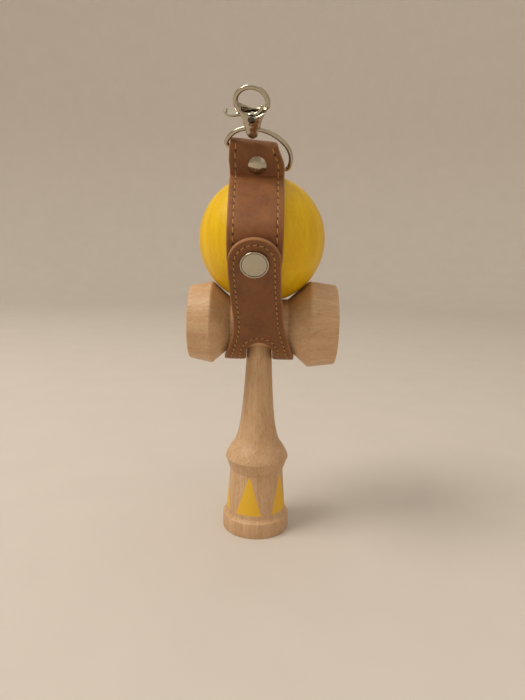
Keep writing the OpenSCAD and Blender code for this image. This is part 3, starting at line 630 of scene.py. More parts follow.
def thread(name, lines, settings, material):
    """Stitches: each is a short tube of thread that rises out of one needle hole and dips into the next.

    The tube's middle line is a flat arch, its section is an ellipse that thins to the ends, and it lies a
    few degrees aslant. The tube's ends are darkened as painted shade where they sink into the leather, and a
    small dark disc at each end is painted shade standing in for the needle hole.
    """
    r = settings.thread_r / MM
    u = np.linspace(-1, 1, 7)
    turn = np.linspace(0, 2 * np.pi, 7)[:-1]
    disc = np.linspace(0, 2 * np.pi, 9)[:-1]
    points, faces, hole_shade, total = [], [], [], 0
    for line, pitch in lines:
        near, step = spaced(line, pitch)
        sink = LEATHER_T - settings.groove / MM - STITCH_SUNK
        centre, behind, ahead = (place(*p.T, sink + ripple(*p.T)) for p in near)
        forward = unit(ahead - behind)
        out = unit(place(*near[0].T, 9.0) - place(*near[0].T, 0.0))
        side = np.cross(out, forward)
        forward, side = (forward * cos(STITCH_SLANT) + side * sin(STITCH_SLANT),
                         side * cos(STITCH_SLANT) - forward * sin(STITCH_SLANT))
        reach = STITCH_REACH * step * u
        rise = STITCH_RISE * (1 - u ** 4) - STITCH_DIP
        size = r * np.sqrt(1 - 0.8 * u ** 4)[:, None]
        high = rise[:, None] + STITCH_FLAT * size * np.sin(turn)
        ring = (centre[:, None, None] + forward[:, None, None] * reach[None, :, None, None]
                + out[:, None, None] * high[None, ..., None]
                + side[:, None, None] * (size * np.cos(turn))[None, ..., None])
        count = len(centre)
        tube = grid_faces(len(u), len(turn), wrap=True)
        each = len(u) * len(turn)
        caps = np.array([[0, 1, 2], [0, 2, 3], [0, 3, 4], [0, 4, 5]])
        far_caps = caps[:, ::-1] + each - len(turn)
        tube = np.concatenate([tube[:, [0, 1, 2]], tube[:, [0, 2, 3]], caps, far_caps])
        faces.append((tube[None] + each * np.arange(count)[:, None, None]).reshape(-1, 3) + total)
        points.append(ring.reshape(-1, 3))
        # Painted shade: the last bit of each stitch is darkened where it sinks into its needle hole
        hole_shade.append(np.tile(np.repeat((np.abs(u) > 0.95) * 0.8, len(turn)), count))
        total += count * each
        # Painted shade: a dark disc over each needle hole stands in for the shade inside it
        rim = forward[:, None] * np.cos(disc)[None, :, None] * NEEDLE_LONG
        rim = rim + side[:, None] * np.sin(disc)[None, :, None]
        hole = (centre + forward * 0.5 * step + out * NEEDLE_RISE)[:, None] + NEEDLE_R * rim
        fan = np.stack([np.zeros(6, int), np.arange(1, 7), np.arange(2, 8)], axis=-1)
        faces.append((fan[None] + 8 * np.arange(count)[:, None, None]).reshape(-1, 3) + total)
        points.append(hole.reshape(-1, 3))
        hole_shade.append(np.ones(count * 8))
        total += count * 8
    return finish_mesh(name, np.concatenate(points), np.concatenate(faces), material,
                       {"hole_shade": np.concatenate(hole_shade)}, sharp=80)


# Materials

def leather_material(settings):
    """Smooth brown leather, pressed and waxed: fine pores, cloudy colour and a pale cut edge with a painted
    highlight on its rounded rim; painted light makes the front strap paler and painted shade makes the rest
    darker.
    """
    material, tree, shader, where = new_material("brown_leather_finished")
    cloud = noise(tree, where, 8, 4.0)
    pores = add(tree, "ShaderNodeTexVoronoi", {"Vector": where, "Scale": 1 / (0.45 * MM)}, "Distance",
                feature="DISTANCE_TO_EDGE")
    crease = noise(tree, where, 2, 6.0, 0.7, 0.6)
    body = mix(tree, remap(tree, cloud, 0.3, 0.7), settings.leather_dark, settings.leather)
    pore = remap(tree, crease, 0.35, 0.55, 0.82, 1.0)
    # Painted light and shade: the front strap is painted paler, as if lit from above, and the rest of the
    # leather is painted darker
    painted_light_tone = remap(tree, attribute(tree, "along_mm"), SEAM_S, SEAM_S + 10, 0.83, 1.02)
    grain_and_painted_light = mix(tree, 1.0, body, reckon(tree, "MULTIPLY", pore, painted_light_tone), "MULTIPLY")
    # Paler cut edge, and a painted highlight on the rounded rim of the finished side beside it
    edge_band_and_highlight = remap(tree, attribute(tree, "edge_mm"), 0.15, 0.75, 0.85, 0.0)
    height = reckon(tree, "ADD", pores, crease)
    plug(tree, shader, {"Base Color": mix(tree, edge_band_and_highlight, grain_and_painted_light, settings.leather_edge_and_highlight),
                        "Roughness": remap(tree, crease, 0.3, 0.7, 0.5, 0.66),
                        "Normal": bumped(tree, height, 0.16, 0.12), "Specular IOR Level": 0.4})
    return material


def lining_material(settings):
    """Flesh side of the leather: short raised fibres, matt and a little paler."""
    material, tree, shader, where = new_material("leather_flesh_side")
    fibre = noise(tree, where, 0.7, 8.0, 0.75)
    shade = remap(tree, fibre, 0.3, 0.7, 0.72, 1.08)
    plug(tree, shader, {"Base Color": mix(tree, 1.0, settings.lining, shade, "MULTIPLY"), "Roughness": 0.92,
                        "Normal": bumped(tree, fibre, 0.5, 0.2), "Sheen Weight": 0.25})
    return material


def thread_material(settings):
    """Waxed polyester sewing thread: twisted strands with a soft gloss, with painted shade where it sinks
    into the needle holes.
    """
    material, tree, shader, where = new_material("waxed_thread")
    shade = remap(tree, noise(tree, where, 0.25), 0.3, 0.7, 0.75, 1.1)
    twisted = mix(tree, 1.0, settings.thread, shade, "MULTIPLY")
    # Painted shade at the stitches' ends and on the needle-hole discs
    final = mix(tree, attribute(tree, "hole_shade"), twisted, settings.needle_hole_shade)
    plug(tree, shader, {"Base Color": final, "Roughness": 0.6})
    return material


def beech_grain(tree, where, settings):
    """Colour and height of beech whose grain runs along Z: rings, fine streaks and short ray flecks."""
    stretched = scaled(tree, where, (1, 1, 0.04))
    ring = noise(tree, stretched, 3.5, 2.0, distortion=0.8)
    streak = noise(tree, stretched, 0.8, 3.0, 0.6)
    fleck = noise(tree, scaled(tree, where, (1, 1, 0.16)), 0.5, 1.0)
    tone = remap(tree, reckon(tree, "ADD", ring, streak), 0.7, 1.25)
    body = mix(tree, tone, settings.beech, settings.beech_dark)
    return mix(tree, remap(tree, fleck, 0.6, 0.72, 0.0, 0.55), body, settings.fleck), streak


# Painted triangles: angles in degrees, heights in millimetres
TRIANGLES = 5
TRIANGLE_LEFT = 14
FOOT_W = 53
TOP_W = 6
FOOT_Z = 11.3
TOP_Z = 30.4


def painted_triangles(tree, where):
    """Mask of painted triangles round the base, each with a blunt top and a slightly ragged edge.

    The turn about Z, counted in triangles, less its whole part is how far a place lies from the middle of
    its triangle. The mask is where that is less than the half width at its height.
    """
    pace = 360 / TRIANGLES
    parts = tree.nodes.new("ShaderNodeSeparateXYZ")
    plug(tree, parts, {0: where})
    x, y, z = parts.outputs
    turn = reckon(tree, "ARCTAN2", x, reckon(tree, "MULTIPLY", y, -1.0))
    start = TRIANGLE_LEFT / pace + 2 * TRIANGLES + 0.5
    count = reckon(tree, "MULTIPLY_ADD", turn, TRIANGLES / 2 / np.pi, start)
    off = reckon(tree, "ABSOLUTE", reckon(tree, "SUBTRACT", reckon(tree, "FRACT", count), 0.5))
    half = remap(tree, z, (FOOT_Z + 0.1) * MM, (TOP_Z + 0.1) * MM, FOOT_W / 2 / pace, TOP_W / 2 / pace)
    ragged = reckon(tree, "MULTIPLY_ADD", noise(tree, where, 1.5), 0.02, -0.01)
    inside = reckon(tree, "ADD", reckon(tree, "SUBTRACT", half, off), ragged)
    foot = remap(tree, z, (FOOT_Z - 0.2) * MM, (FOOT_Z + 0.2) * MM)
    top = remap(tree, z, (TOP_Z - 0.2) * MM, (TOP_Z + 0.2) * MM, 1.0, 0.0)
    return reckon(tree, "MULTIPLY", reckon(tree, "MULTIPLY", remap(tree, inside, 0.0, 0.02), foot), top)


def beech_material(name, settings, along_x=False, painted=False):
    """Sanded beech under thin oil: pale, fine grained, with short brown flecks along the grain."""
    material, tree, shader, where = new_material(name)
    grain = rotated(tree, where, (0, radians(90), 0)) if along_x else where
    final, height = beech_grain(tree, grain, settings)
    if painted:
        thin = remap(tree, height, 0.3, 0.7, 0.95, 0.8)
        cover = reckon(tree, "MULTIPLY", painted_triangles(tree, where), thin)
        final = mix(tree, cover, final, settings.paint)
    plug(tree, shader, {"Base Color": final, "Normal": bumped(tree, height, 0.12, 0.15), "Roughness": 0.46,
                        "Specular IOR Level": 0.4})
    return material


def stain_material(settings):
    """Yellow stained wood under thin lacquer: the grain takes the stain darker in fine upright lines."""
    material, tree, shader, where = new_material("yellow_stained_wood")
    stretched = scaled(tree, rotated(tree, where, (0.05, 0.08, 0)), (1, 1, 0.05))
    band = noise(tree, stretched, 5, 3.0)
    pore = noise(tree, stretched, 0.55, 3.0, 0.65)
    tone = remap(tree, reckon(tree, "ADD", band, pore), 0.82, 1.3, 0.0, 0.75)
    plug(tree, shader, {"Base Color": mix(tree, tone, settings.stain, settings.stain_dark), "Roughness": 0.42,
                        "Normal": bumped(tree, pore, 0.08, 0.12), "Specular IOR Level": 0.35})
    return material


def metal_material(name, tint):
    """Plated or oiled steel: mirror-like, with soft dents from stamping and faint handling marks."""
    material, tree, shader, where = new_material(name)
    dent = noise(tree, where, 3, 1.0)
    scuff = noise(tree, where, 0.6, 5.0)
    plug(tree, shader, {"Base Color": tint, "Metallic": 1.0, "Normal": bumped(tree, dent, 0.8, 0.35),
                        "Roughness": remap(tree, scuff, 0.35, 0.7, 0.12, 0.3)})
    return material


def dress(node, material):
    """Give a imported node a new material."""
    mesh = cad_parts[node].data
    mesh.materials.clear()
    mesh.materials.append(material)


# Operators


def attach(piece, kind):
    """Bake the world placement of a flap or front strap piece into its mesh, or fix any other piece to the
    holster's body.
    """
    if kind == "flap":
        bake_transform(piece)
    elif kind == "front_strap":
        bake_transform(piece)
    else:
        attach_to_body(piece, "holster")


class KENDAMA_OT_leather(bpy.types.Operator):
    """Make the outer leather and the lining of the fixed strip, the flap and the front strap"""
    bl_idname = "kendama.leather"
    bl_label = "Leather"

    def execute(self, context):
        settings = context.scene.kendama_holster
        plies = (("outer", "leather", leather_material(settings)),
                 ("lining", "lining", lining_material(settings)))
        for ply, slot, material in plies:
            for kind in ("holster", "flap", "front_strap"):
                piece = shell(f"{kind}_{ply}_leather", kind, ply == "lining", settings, material)
                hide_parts(f"{kind}_{ply}")
                attach(piece, kind)
        return {"FINISHED"}


class KENDAMA_OT_thread(bpy.types.Operator):
    """Sew the stitch lines of the strip, the flap and the front strap"""
    bl_idname = "kendama.thread"
    bl_label = "Thread"

    def execute(self, context):
        settings = context.scene.kendama_holster
        material = thread_material(settings)
        flap, strap = settings.flap_pitch / MM, settings.strap_pitch / MM
        for kind, pitch in (("holster", strap), ("flap", flap), ("front_strap", strap)):
            lines = [(line, pitch) for line in stitch_line(kind, settings)]
            if kind != "front_strap":
                lines.append((arch_line(kind, settings), flap))
            piece = thread(f"{kind}_thread", lines, settings, material)
            attach(piece, kind)
        return {"FINISHED"}


# Turned handle: sizes and profile

BASE_R = 17.0
BASE_RIM_H = 8.0
BASE_CUP_R = 15.4
BASE_CUP_DEPTH = 8.0
BASE_BODY_R = 15.25
BASE_TOP_R = 13.5
BEAD_R = 16.0
BEAD_Z = 38.3
BEAD_FACE_H = 6.0
SHOULDER_H = 8.6
NECK_R = 6.1
WAIST_R = 12.0
NECK_Z = CROSS_Z - WAIST_R - 1.6
SHAFT_TAPER = 2.3
FLARE_R = 2.7
FLARE_FADE = 9.0
SPIKE_Z = 162.5
SPIKE_TIP_R = 2.5
EDGE = 0.4


def shaft(z):
    """Radius of the handle from the shoulder up to the neck: a taper plus a fading flare."""
    foot = BEAD_Z + SHOULDER_H
    u = (z - foot) / (NECK_Z - foot)
    return NECK_R + SHAFT_TAPER * (1 - u) + FLARE_R * np.exp(-(z - foot) / FLARE_FADE) * (1 - u ** 4)


def handle_profile():
    """Radius and height of the handle, from the dish's middle round the base and up to the spike's tip.

    The dish and the tip are arcs, the shoulder is the mean of a line and a cosine, the rest is straight.
    """
    ball = (BASE_CUP_R ** 2 + BASE_CUP_DEPTH ** 2) / (2 * BASE_CUP_DEPTH)
    t = np.linspace(0, asin(BASE_CUP_R / ball), 24)
    dish = np.stack([ball * np.sin(t), BASE_CUP_DEPTH - ball + ball * np.cos(t)], axis=-1)
    face_z = BEAD_Z - BEAD_FACE_H
    body = np.array([[BASE_R - EDGE, 0], [BASE_R - 0.1, 0.1], [BASE_R, EDGE], [BASE_R, BASE_RIM_H - 1],
                     [BASE_R - 0.25, BASE_RIM_H - 0.35], [BASE_R - 0.9, BASE_RIM_H],
                     [BASE_BODY_R + EDGE, BASE_RIM_H + EDGE], [BASE_BODY_R, BASE_RIM_H + 3 * EDGE]])
    side = np.linspace([BASE_BODY_R, BASE_RIM_H + 3 * EDGE], [BASE_TOP_R, face_z - EDGE], 12)[1:]
    bevel = np.array([[BASE_TOP_R + EDGE, face_z], [BEAD_R - EDGE, BEAD_Z - 2 * EDGE],
                      [BEAD_R, BEAD_Z - 0.3]])
    foot = BEAD_Z + SHOULDER_H
    z = np.linspace(BEAD_Z + 0.3, NECK_Z, 110)
    u = np.clip((z - BEAD_Z) / SHOULDER_H, 0, 1)
    shoulder = shaft(foot) + (BEAD_R - shaft(foot)) * (1 - u + np.cos(np.pi / 2 * u)) / 2
    radius = np.where(z < foot, shoulder, shaft(z))
    # The sander softens the line where the shoulder meets the shaft
    soft = np.convolve(np.pad(radius, 3, mode="edge"), np.full(7, 1 / 7), mode="valid")
    radius = radius + (soft - radius) * ease(1 - np.abs(z - foot) / 5)
    neck = np.stack([radius, z], axis=-1)
    spike = np.linspace([NECK_R, CROSS_Z + WAIST_R], [SPIKE_TIP_R, SPIKE_Z - SPIKE_TIP_R], 20)
    t = np.linspace(0, np.pi / 2, 12)[1:]
    tip = np.stack([SPIKE_TIP_R * np.cos(t), SPIKE_Z - SPIKE_TIP_R + SPIKE_TIP_R * np.sin(t)], axis=-1)
    return np.concatenate([dish, body, side, bevel, neck, spike, tip])


def turned(name, profile, material, sharp, around=128):
    """Surface of revolution of a (radius, height) profile about Z; rows on the axis become poles."""
    angle = np.linspace(0, 2 * np.pi, around, endpoint=False)
    r, z = profile[:, :1], profile[:, 1:]
    points = np.stack([r * np.cos(angle), r * np.sin(angle), np.repeat(z, around, axis=1)], axis=-1)
    return closed_grid(name, points, material, sharp)


def closed_grid(name, points, material, sharp):
    """Piece from a grid of points that closes round its columns, with equal points merged into poles."""
    faces = grid_faces(*points.shape[:2], wrap=True)[:, ::-1]
    whole = np.round(points.reshape(-1, 3), 5)
    _, first, index = np.unique(whole, axis=0, return_index=True, return_inverse=True)
    faces = index.reshape(-1)[faces]
    faces = np.concatenate([faces[:, [0, 1, 2]], faces[:, [0, 2, 3]]])
    flat = (faces[:, 0] == faces[:, 1]) | (faces[:, 1] == faces[:, 2]) | (faces[:, 0] == faces[:, 2])
    return finish_mesh(name, points.reshape(-1, 3)[first], faces[~flat], material, sharp=sharp)


class KENDAMA_OT_wood(bpy.types.Operator):
    """Finish the handle, the crosspiece and the ball"""
    bl_idname = "kendama.wood"
    bl_label = "Wood"

    def execute(self, context):
        settings = context.scene.kendama_wood
        material = beech_material("beech_turned_painted", settings, painted=True)
        handle = turned("ken_wood", handle_profile(), material, sharp=22)
        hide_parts("ken")
        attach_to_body(handle, "holster")
        dress("sarado", beech_material("beech_turned", settings, along_x=True))
        dress("tama", stain_material(settings))
        return {"FINISHED"}


# Cast clasp: sizes, frame and blended surfaces

BAR_R = 39.1187
RING_SHIFT = -0.2
RING_TILT = 21.0
RING_LEAN = 18.0
RING_TOP_R = 18.1882
RING_TOP_Z = -4.7881
CLASP_PLACE = 21.0
CLASP_LEAN = 4.0
TAIL_Z = -4.45
HOOK_Z = 11.7
HOOK_R = 6.45
HOOK_WIRE_R = 1.0
HOOK_ENDS = (-8.0, 212.0)
EYE_R = 1.4
EYE_L = 1.6
PIN_Z = 5.4
PIN_HOLE_R = 0.76
SPRING_POCKET_R = 1.42
BODY_WALL = 0.6
HOLLOW_Z = 3.0
TRIGGER_HALF = 1.1
TRIGGER_SLOT_HALF = 1.32
HUB_R = 1.8
ROD_R = 0.8
LEAF_R = 0.5
LEAF_EDGE = 0.35
HOOK_BLEND = 0.7
TRIGGER_BLEND = 0.5
FUNNEL_POWER = 2.6
BODY_STEP = 0.16
TRIGGER_STEP = 0.14

# Half widths and half depths as (places, sizes), and rods as (x, z) points
FUNNEL_WIDE = ((-4.5, -3.4, -1.5, 1, 4, 7, 9.5), (0.9, 2.0, 2.9, 3.3, 4.05, 5.25, 6.5))
FUNNEL_DEEP = ((-4.5, -3.4, -1.5, 2, 8), (0.9, 1.7, 2.2, 2.35, 2.45))
LEAF_HALF = ((-11.6, -10.8, -9, -6.5, -5), (0.9, 1.5, 1.9, 1.5, 0.9))
GATE = ((0.4, 6.1), (2.6, 7.2), (3.9, 8.8), (4.1, 10.1))
ARM = ((-0.6, 6.1), (-5.5, 6.25))
LEAF = ((-5, 6.2), (-9.4, 6.15), (-10.4, 6.5), (-10.95, 7.2))


def clasp_frame():
    """Matrix in millimetres to the part's frame from the clasp's own, eye at the origin and hook up Z."""
    def spin(angle, axis):
        return Matrix.Rotation(radians(angle), 4, axis)

    place_turn = radians(CLASP_PLACE)
    top = Vector((-RING_TOP_R * sin(place_turn), 0, RING_TOP_Z + RING_TOP_R * cos(place_turn)))
    return np.array(Matrix.Translation((0, 0, BALL_Z)) @ spin(90 - LOOP_ANGLE, "X")
                    @ Matrix.Translation((STRAP_SHIFT + RING_SHIFT, 0, BAR_R)) @ spin(RING_TILT, "Y")
                    @ spin(RING_LEAN, "X") @ Matrix.Translation(top) @ spin(-CLASP_PLACE, "Y")
                    @ spin(CLASP_LEAN, "X"))


def level_surface(field, low, step):
    """Quads where a field on a grid crosses zero, negative inside.

    Each cell with both signs gets one point, the mean of the crossings on its edges, and each grid edge
    that crosses zero joins the points of the four cells round it.
    """
    shape = np.array(field.shape) - 1
    total, count = np.zeros((*shape, 3)), np.zeros(shape)
    for axis in range(3):
        for a, b in ((0, 0), (0, 1), (1, 0), (1, 1)):
            first = np.insert([a, b], axis, 0)
            last = np.insert([a, b], axis, 1)
            f = field[tuple(slice(o, o + n) for o, n in zip(first, shape))]
            g = field[tuple(slice(o, o + n) for o, n in zip(last, shape))]
            crossed = (f < 0) != (g < 0)
            total += crossed[..., None] * first
            total[..., axis] += np.where(crossed, f / np.where(crossed, f - g, 1), 0)
            count += crossed
    used = count > 0
    index = np.full(shape, -1)
    index[used] = np.arange(used.sum())
    points = low + step * (np.argwhere(used) + total[used] / count[used][:, None])
    inside = field < 0
    quads = []
    for axis in range(3):
        u, v = (axis + 1) % 3, (axis + 2) % 3
        nodes = [slice(1, n) for n in shape]
        nodes[axis] = slice(0, shape[axis])
        after = list(nodes)
        after[axis] = slice(1, shape[axis] + 1)
        here, there = inside[tuple(nodes)], inside[tuple(after)]
        ring = []
        for du, dv in ((1, 1), (0, 1), (0, 0), (1, 0)):
            cell = list(nodes)
            cell[u], cell[v] = slice(1 - du, shape[u] - du), slice(1 - dv, shape[v] - dv)
            ring.append(index[tuple(cell)])
        quad = np.stack(ring, axis=-1)
        quads += [quad[here & ~there], quad[~here & there][:, ::-1]]
    return points, np.concatenate(quads)


def join(a, b, soft):
    """Union of two fields with a fillet of about the given size."""
    k = np.clip(0.5 + 0.5 * (b - a) / soft, 0, 1)
    return b + (a - b) * k - soft * k * (1 - k)


def rod(x, y, z, points, radius):
    """Distance from a rod of round section through points in the XZ plane."""
    best = np.full(np.broadcast(x, y, z).shape, 1e3)
    for (x0, z0), (x1, z1) in zip(points[:-1], points[1:]):
        dx, dz = x1 - x0, z1 - z0
        t = np.clip(((x - x0) * dx + (z - z0) * dz) / (dx * dx + dz * dz), 0, 1)
        best = np.minimum(best, np.sqrt((x - x0 - t * dx) ** 2 + (z - z0 - t * dz) ** 2 + y * y))
    return best - radius


def clasp_body_field(x, y, z):
    """Clasp body: a hollow funnel of rounded section, an eye through its foot and a hook from its side.

    The funnel's half width and half depth are straight runs over the height, its rim is a shallow trough,
    and the hook is an arc of round wire blended into the left shoulder.
    """
    wide = np.interp(z, *FUNNEL_WIDE)
    deep = np.interp(z, *FUNNEL_DEEP)
    power_sum = (np.abs(x) / wide) ** FUNNEL_POWER + (np.abs(y) / deep) ** FUNNEL_POWER
    ring = power_sum ** (1 / FUNNEL_POWER) - 1
    funnel = ring * np.minimum(wide, deep)
    rim = 7.3 + 0.07 * (x - 0.6) ** 2 + 0.3 * y
    outside = np.maximum(np.maximum(funnel, z - rim), TAIL_Z - z)
    hollow = np.maximum(ring * deep + BODY_WALL, HOLLOW_Z - z)
    turn = np.degrees(np.arctan2(z - HOOK_Z, x))
    turn = np.clip(np.where(turn < -90, turn + 360, turn), *HOOK_ENDS)
    hook = np.sqrt((x - HOOK_R * np.cos(np.radians(turn))) ** 2 + y * y
                   + (z - HOOK_Z - HOOK_R * np.sin(np.radians(turn))) ** 2) - HOOK_WIRE_R
    body = join(np.maximum(outside, -hollow), hook, HOOK_BLEND)
    eye = np.hypot(y, z + np.clip(-z, 0, EYE_L)) - EYE_R
    pin = np.hypot(x, z - PIN_Z) - PIN_HOLE_R
    slot = np.maximum(np.maximum(x + 1, np.abs(y) - TRIGGER_SLOT_HALF), np.abs(z - 5.5) - 2.1)
    return np.maximum(np.maximum(body, -eye), np.maximum(-pin, -slot))


def trigger_field(x, y, z):
    """Trigger: a hub round the pin, a gate up to the hook's end and a leaf-shaped tab with a curled end."""
    off = np.hypot(x, z - PIN_Z)
    hub = np.maximum(off - HUB_R, np.abs(y) - TRIGGER_HALF + 0.1)
    gate = rod(x, 0.9 * y, z, GATE, ROD_R)
    arm = rod(x, 0.9 * y, z, ARM, ROD_R)
    leaf = rod(x, 0 * y, z, LEAF, LEAF_R)
    side = np.abs(y) - np.interp(x, *LEAF_HALF)
    tab = np.hypot(np.clip(leaf + LEAF_EDGE, 0, None), np.clip(side + LEAF_EDGE, 0, None)) - LEAF_EDGE
    solid = hub
    for limb in (gate, arm, tab):
        solid = join(solid, limb, TRIGGER_BLEND)
    pocket = np.maximum(off - SPRING_POCKET_R, -y)
    return np.maximum(np.maximum(solid, -pocket), PIN_HOLE_R - off)


def cast(name, field, low, high, step, material):
    """Piece of the clasp: the zero surface of its field, set into the part's frame."""
    axes = [np.arange(a, b, step) for a, b in zip(low, high)]
    points, faces = level_surface(field(*np.meshgrid(*axes, indexing="ij")), np.array(low), step)
    matrix = clasp_frame()
    return finish_mesh(name, points @ matrix[:3, :3].T + matrix[:3, 3], faces, material, sharp=75)


# Pressed snap cap: sizes and surface

CAP_R = 6.25
CAP_H = 1.5
CAP_RIM = 0.9
CAP_RIM_H = 1.35
CAP_SAG = 0.75
CAP_DENT = 0.12
CAP_DENT_FADE = 2.5
CAP_TUBE_R = 3.2
CAP_TUBE_T = 0.4
SOCKET_T = 1.2


def pressed_cap(material):
    """Snap cap: a low dome inside a raised rolled rim, with a tube to the socket, about the snap's axis.

    Its profile runs from the dome's middle over the rim, back under it and down and up the tube's walls.
    Shallow dents, a product of slow sines that fades to the rim, are pressed into the dome.
    """
    face = np.linspace(0, CAP_R - CAP_RIM - 0.1, 26)
    dome = np.stack([face, CAP_H - CAP_SAG * (face / CAP_R) ** 2], axis=-1)
    turn = np.radians(np.linspace(180, -90, 25))
    roll = np.stack([CAP_R - CAP_RIM / 2 + CAP_RIM / 2 * np.cos(turn),
                     CAP_RIM_H / 2 + CAP_RIM_H / 2 * np.sin(turn)], axis=-1)
    low, inner = -LEATHER_T - SOCKET_T, CAP_TUBE_R - CAP_TUBE_T
    tube = np.array([[CAP_TUBE_R, -0.05], [CAP_TUBE_R, low + 0.1], [CAP_TUBE_R - 0.1, low],
                     [inner, low], [inner, -EDGE], [0, -EDGE]])
    profile = np.concatenate([dome, roll, tube])[::-1]
    angle = np.linspace(0, 2 * np.pi, 96, endpoint=False)
    r, h = profile[:, :1], profile[:, 1:]
    x, up = r * np.cos(angle), r * np.sin(angle)
    dent = np.sin(0.95 * x + 0.5) * np.sin(0.8 * up - 0.4 * x + 1.1) + 0.5 * np.sin(1.7 * x - 1.2 * up)
    h = h - CAP_DENT * (dent + 1) * (h > 0.6) * ease((CAP_R - CAP_RIM - r) / CAP_DENT_FADE)
    centre = FLAP_P + SNAP_S * FLAP_U + LEATHER_T * FLAP_N
    points = np.stack([STRAP_SHIFT + x, centre[0] + up * FLAP_U[0] + h * FLAP_N[0],
                       centre[1] + up * FLAP_U[1] + h * FLAP_N[1]], axis=-1)
    return closed_grid("snap_cap_pressed", points, material, sharp=50)


class KENDAMA_OT_hardware(bpy.types.Operator):
    """Finish the snap, the rivet, the ring and the clasp"""
    bl_idname = "kendama.hardware"
    bl_label = "Hardware"

    def execute(self, context):
        settings = context.scene.kendama_metal
        material = metal_material("nickel_plated_steel", settings.nickel)
        steel = metal_material("oiled_steel", settings.steel)
        for node in ("snap_socket", "snap_stud", "snap_post", "rivet_cap", "rivet_back", "d_ring"):
            dress(node, material)
        for node in ("clasp_pin", "clasp_spring"):
            dress(node, steel)
        body = cast("clasp_body_cast", clasp_body_field, (-8, -3.2, -5), (8, 3.2, 19.6), BODY_STEP, material)
        trigger = cast("clasp_trigger_cast", trigger_field, (-12.4, -2.6, 3.2), (6.4, 2.6, 12), TRIGGER_STEP,
                       material)
        cap = pressed_cap(material)
        for piece, node, ride in ((body, "clasp_body", "clasp"), (trigger, "clasp_trigger", "trigger"),
                                  (cap, "snap_cap", "flap")):
            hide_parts(node)
            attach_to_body(piece, ride)
        return {"FINISHED"}


# Stage: a camera fitted to the ball, the base and the crosspiece in the photo, angles in degrees
IMAGE_HEIGHT = 700
FOCUS_PIXELS = 526.0
SENSOR = 36.0
CAMERA_PITCH = 10.46
CAMERA_ROLL = 1.44
CAMERA_PLACE = (1.6, -258.35, 140.95)
FLOOR_R = 1200.0
CURVE_R = 600.0
WALL_TOP = 2600.0
SKY_POWER = 0.95


def set_camera(scene):
    """Camera at its fitted place, pitched down and rolled a little."""
    pitch, roll = radians(CAMERA_PITCH), radians(CAMERA_ROLL)
    level = Vector((1, 0, 0))
    upright = Vector((0, sin(pitch), cos(pitch)))
    right = cos(roll) * level + sin(roll) * upright
    above = cos(roll) * upright - sin(roll) * level
    data = bpy.data.cameras.new("camera")
    data.lens = FOCUS_PIXELS * SENSOR / IMAGE_HEIGHT
    data.sensor_width = SENSOR
    data.clip_start = 0.01
    camera = bpy.data.objects.new("camera", data)
    turn = Matrix((right, above, right.cross(above))).transposed()
    camera.matrix_world = Matrix.Translation(Vector(CAMERA_PLACE) * MM) @ turn.to_4x4()
    scene.collection.objects.link(camera)
    scene.camera = camera


def backdrop_material(tint):
    """Matt paper with faint clouds."""
    material, tree, shader, where = new_material("matt_paper_backdrop")
    shade = remap(tree, noise(tree, where, 40, 5.0), 0.3, 0.7, 0.97, 1.0)
    plug(tree, shader, {"Base Color": mix(tree, 1.0, tint, shade, "MULTIPLY"), "Roughness": 0.9})
    return material


def area_light(name, place_at, aim, size, energy, tint):
    """Soft square light turned towards a point."""
    data = bpy.data.lights.new(name, "AREA")
    data.size = size
    data.energy = energy
    data.color = tint
    light = bpy.data.objects.new(name, data)
    light.location = place_at
    light.rotation_euler = (Vector(aim) - Vector(place_at)).to_track_quat("-Z", "Y").to_euler()
    bpy.context.scene.collection.objects.link(light)


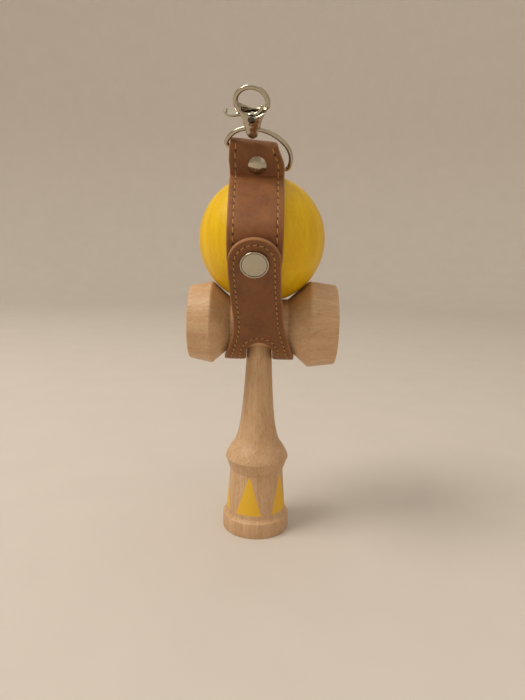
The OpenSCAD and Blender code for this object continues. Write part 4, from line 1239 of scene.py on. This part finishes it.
class KENDAMA_OT_stage(bpy.types.Operator):
    """Set up the camera, the floor with its backdrop, and the lights"""
    bl_idname = "kendama.stage"
    bl_label = "Stage"

    def execute(self, context):
        settings = context.scene.kendama_stage
        scene = context.scene
        set_camera(scene)
        # Floor that rises all round in a wide curve into a wall, with an open top
        turn = np.radians(np.linspace(0, 90, 24))
        curve = np.stack([FLOOR_R + CURVE_R * np.sin(turn), CURVE_R - CURVE_R * np.cos(turn)], axis=-1)
        profile = np.concatenate([[[0, 0], [FLOOR_R / 2, 0]], curve, [[FLOOR_R + CURVE_R, WALL_TOP]]])
        turned("backdrop", profile[::-1], backdrop_material(settings.floor), sharp=60)
        # Large soft light from the upper left, a weak one from the right
        area_light("key_light", (-0.8, -0.28, 1.12), (0, 0, 0.12), 0.6, settings.key_power, (1.0, 0.95, 0.87))
        area_light("fill_light", (0.9, -0.7, 0.5), (0, 0, 0.11), 0.8, settings.fill_power, (0.95, 0.97, 1.0))
        world = bpy.data.worlds.new("soft_sky")
        world.use_nodes = True
        plug(world.node_tree, world.node_tree.nodes["Background"], {0: settings.sky, 1: SKY_POWER})
        scene.world = world
        scene.view_settings.view_transform = "Standard"
        return {"FINISHED"}


class KENDAMA_PT_panel(bpy.types.Panel):
    """Lists the steps that dress the kendama"""
    bl_label = "Kendama"
    bl_idname = "KENDAMA_PT_panel"
    bl_space_type = "VIEW_3D"
    bl_region_type = "UI"
    bl_category = "Kendama"

    def draw(self, context):
        for step in STEPS:
            self.layout.operator(step.bl_idname)


STEPS = (KENDAMA_OT_stage, KENDAMA_OT_wood, KENDAMA_OT_leather, KENDAMA_OT_thread, KENDAMA_OT_hardware)
GROUPS = {"kendama_holster": HolsterSettings, "kendama_wood": WoodSettings, "kendama_metal": MetalSettings,
          "kendama_stage": StageSettings}


def register():
    """Register the settings, the steps and the panel."""
    for kind in (*GROUPS.values(), *STEPS, KENDAMA_PT_panel):
        bpy.utils.register_class(kind)
    for name, group in GROUPS.items():
        setattr(bpy.types.Scene, name, PointerProperty(type=group))


def unregister():
    """Remove what register added."""
    for name in GROUPS:
        delattr(bpy.types.Scene, name)
    for kind in (KENDAMA_PT_panel, *reversed(STEPS), *GROUPS.values()):
        bpy.utils.unregister_class(kind)


def main():
    """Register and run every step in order."""
    register()
    bpy.ops.kendama.stage()
    bpy.ops.kendama.wood()
    bpy.ops.kendama.leather()
    bpy.ops.kendama.thread()
    bpy.ops.kendama.hardware()


if __name__ == "__main__":
    main()
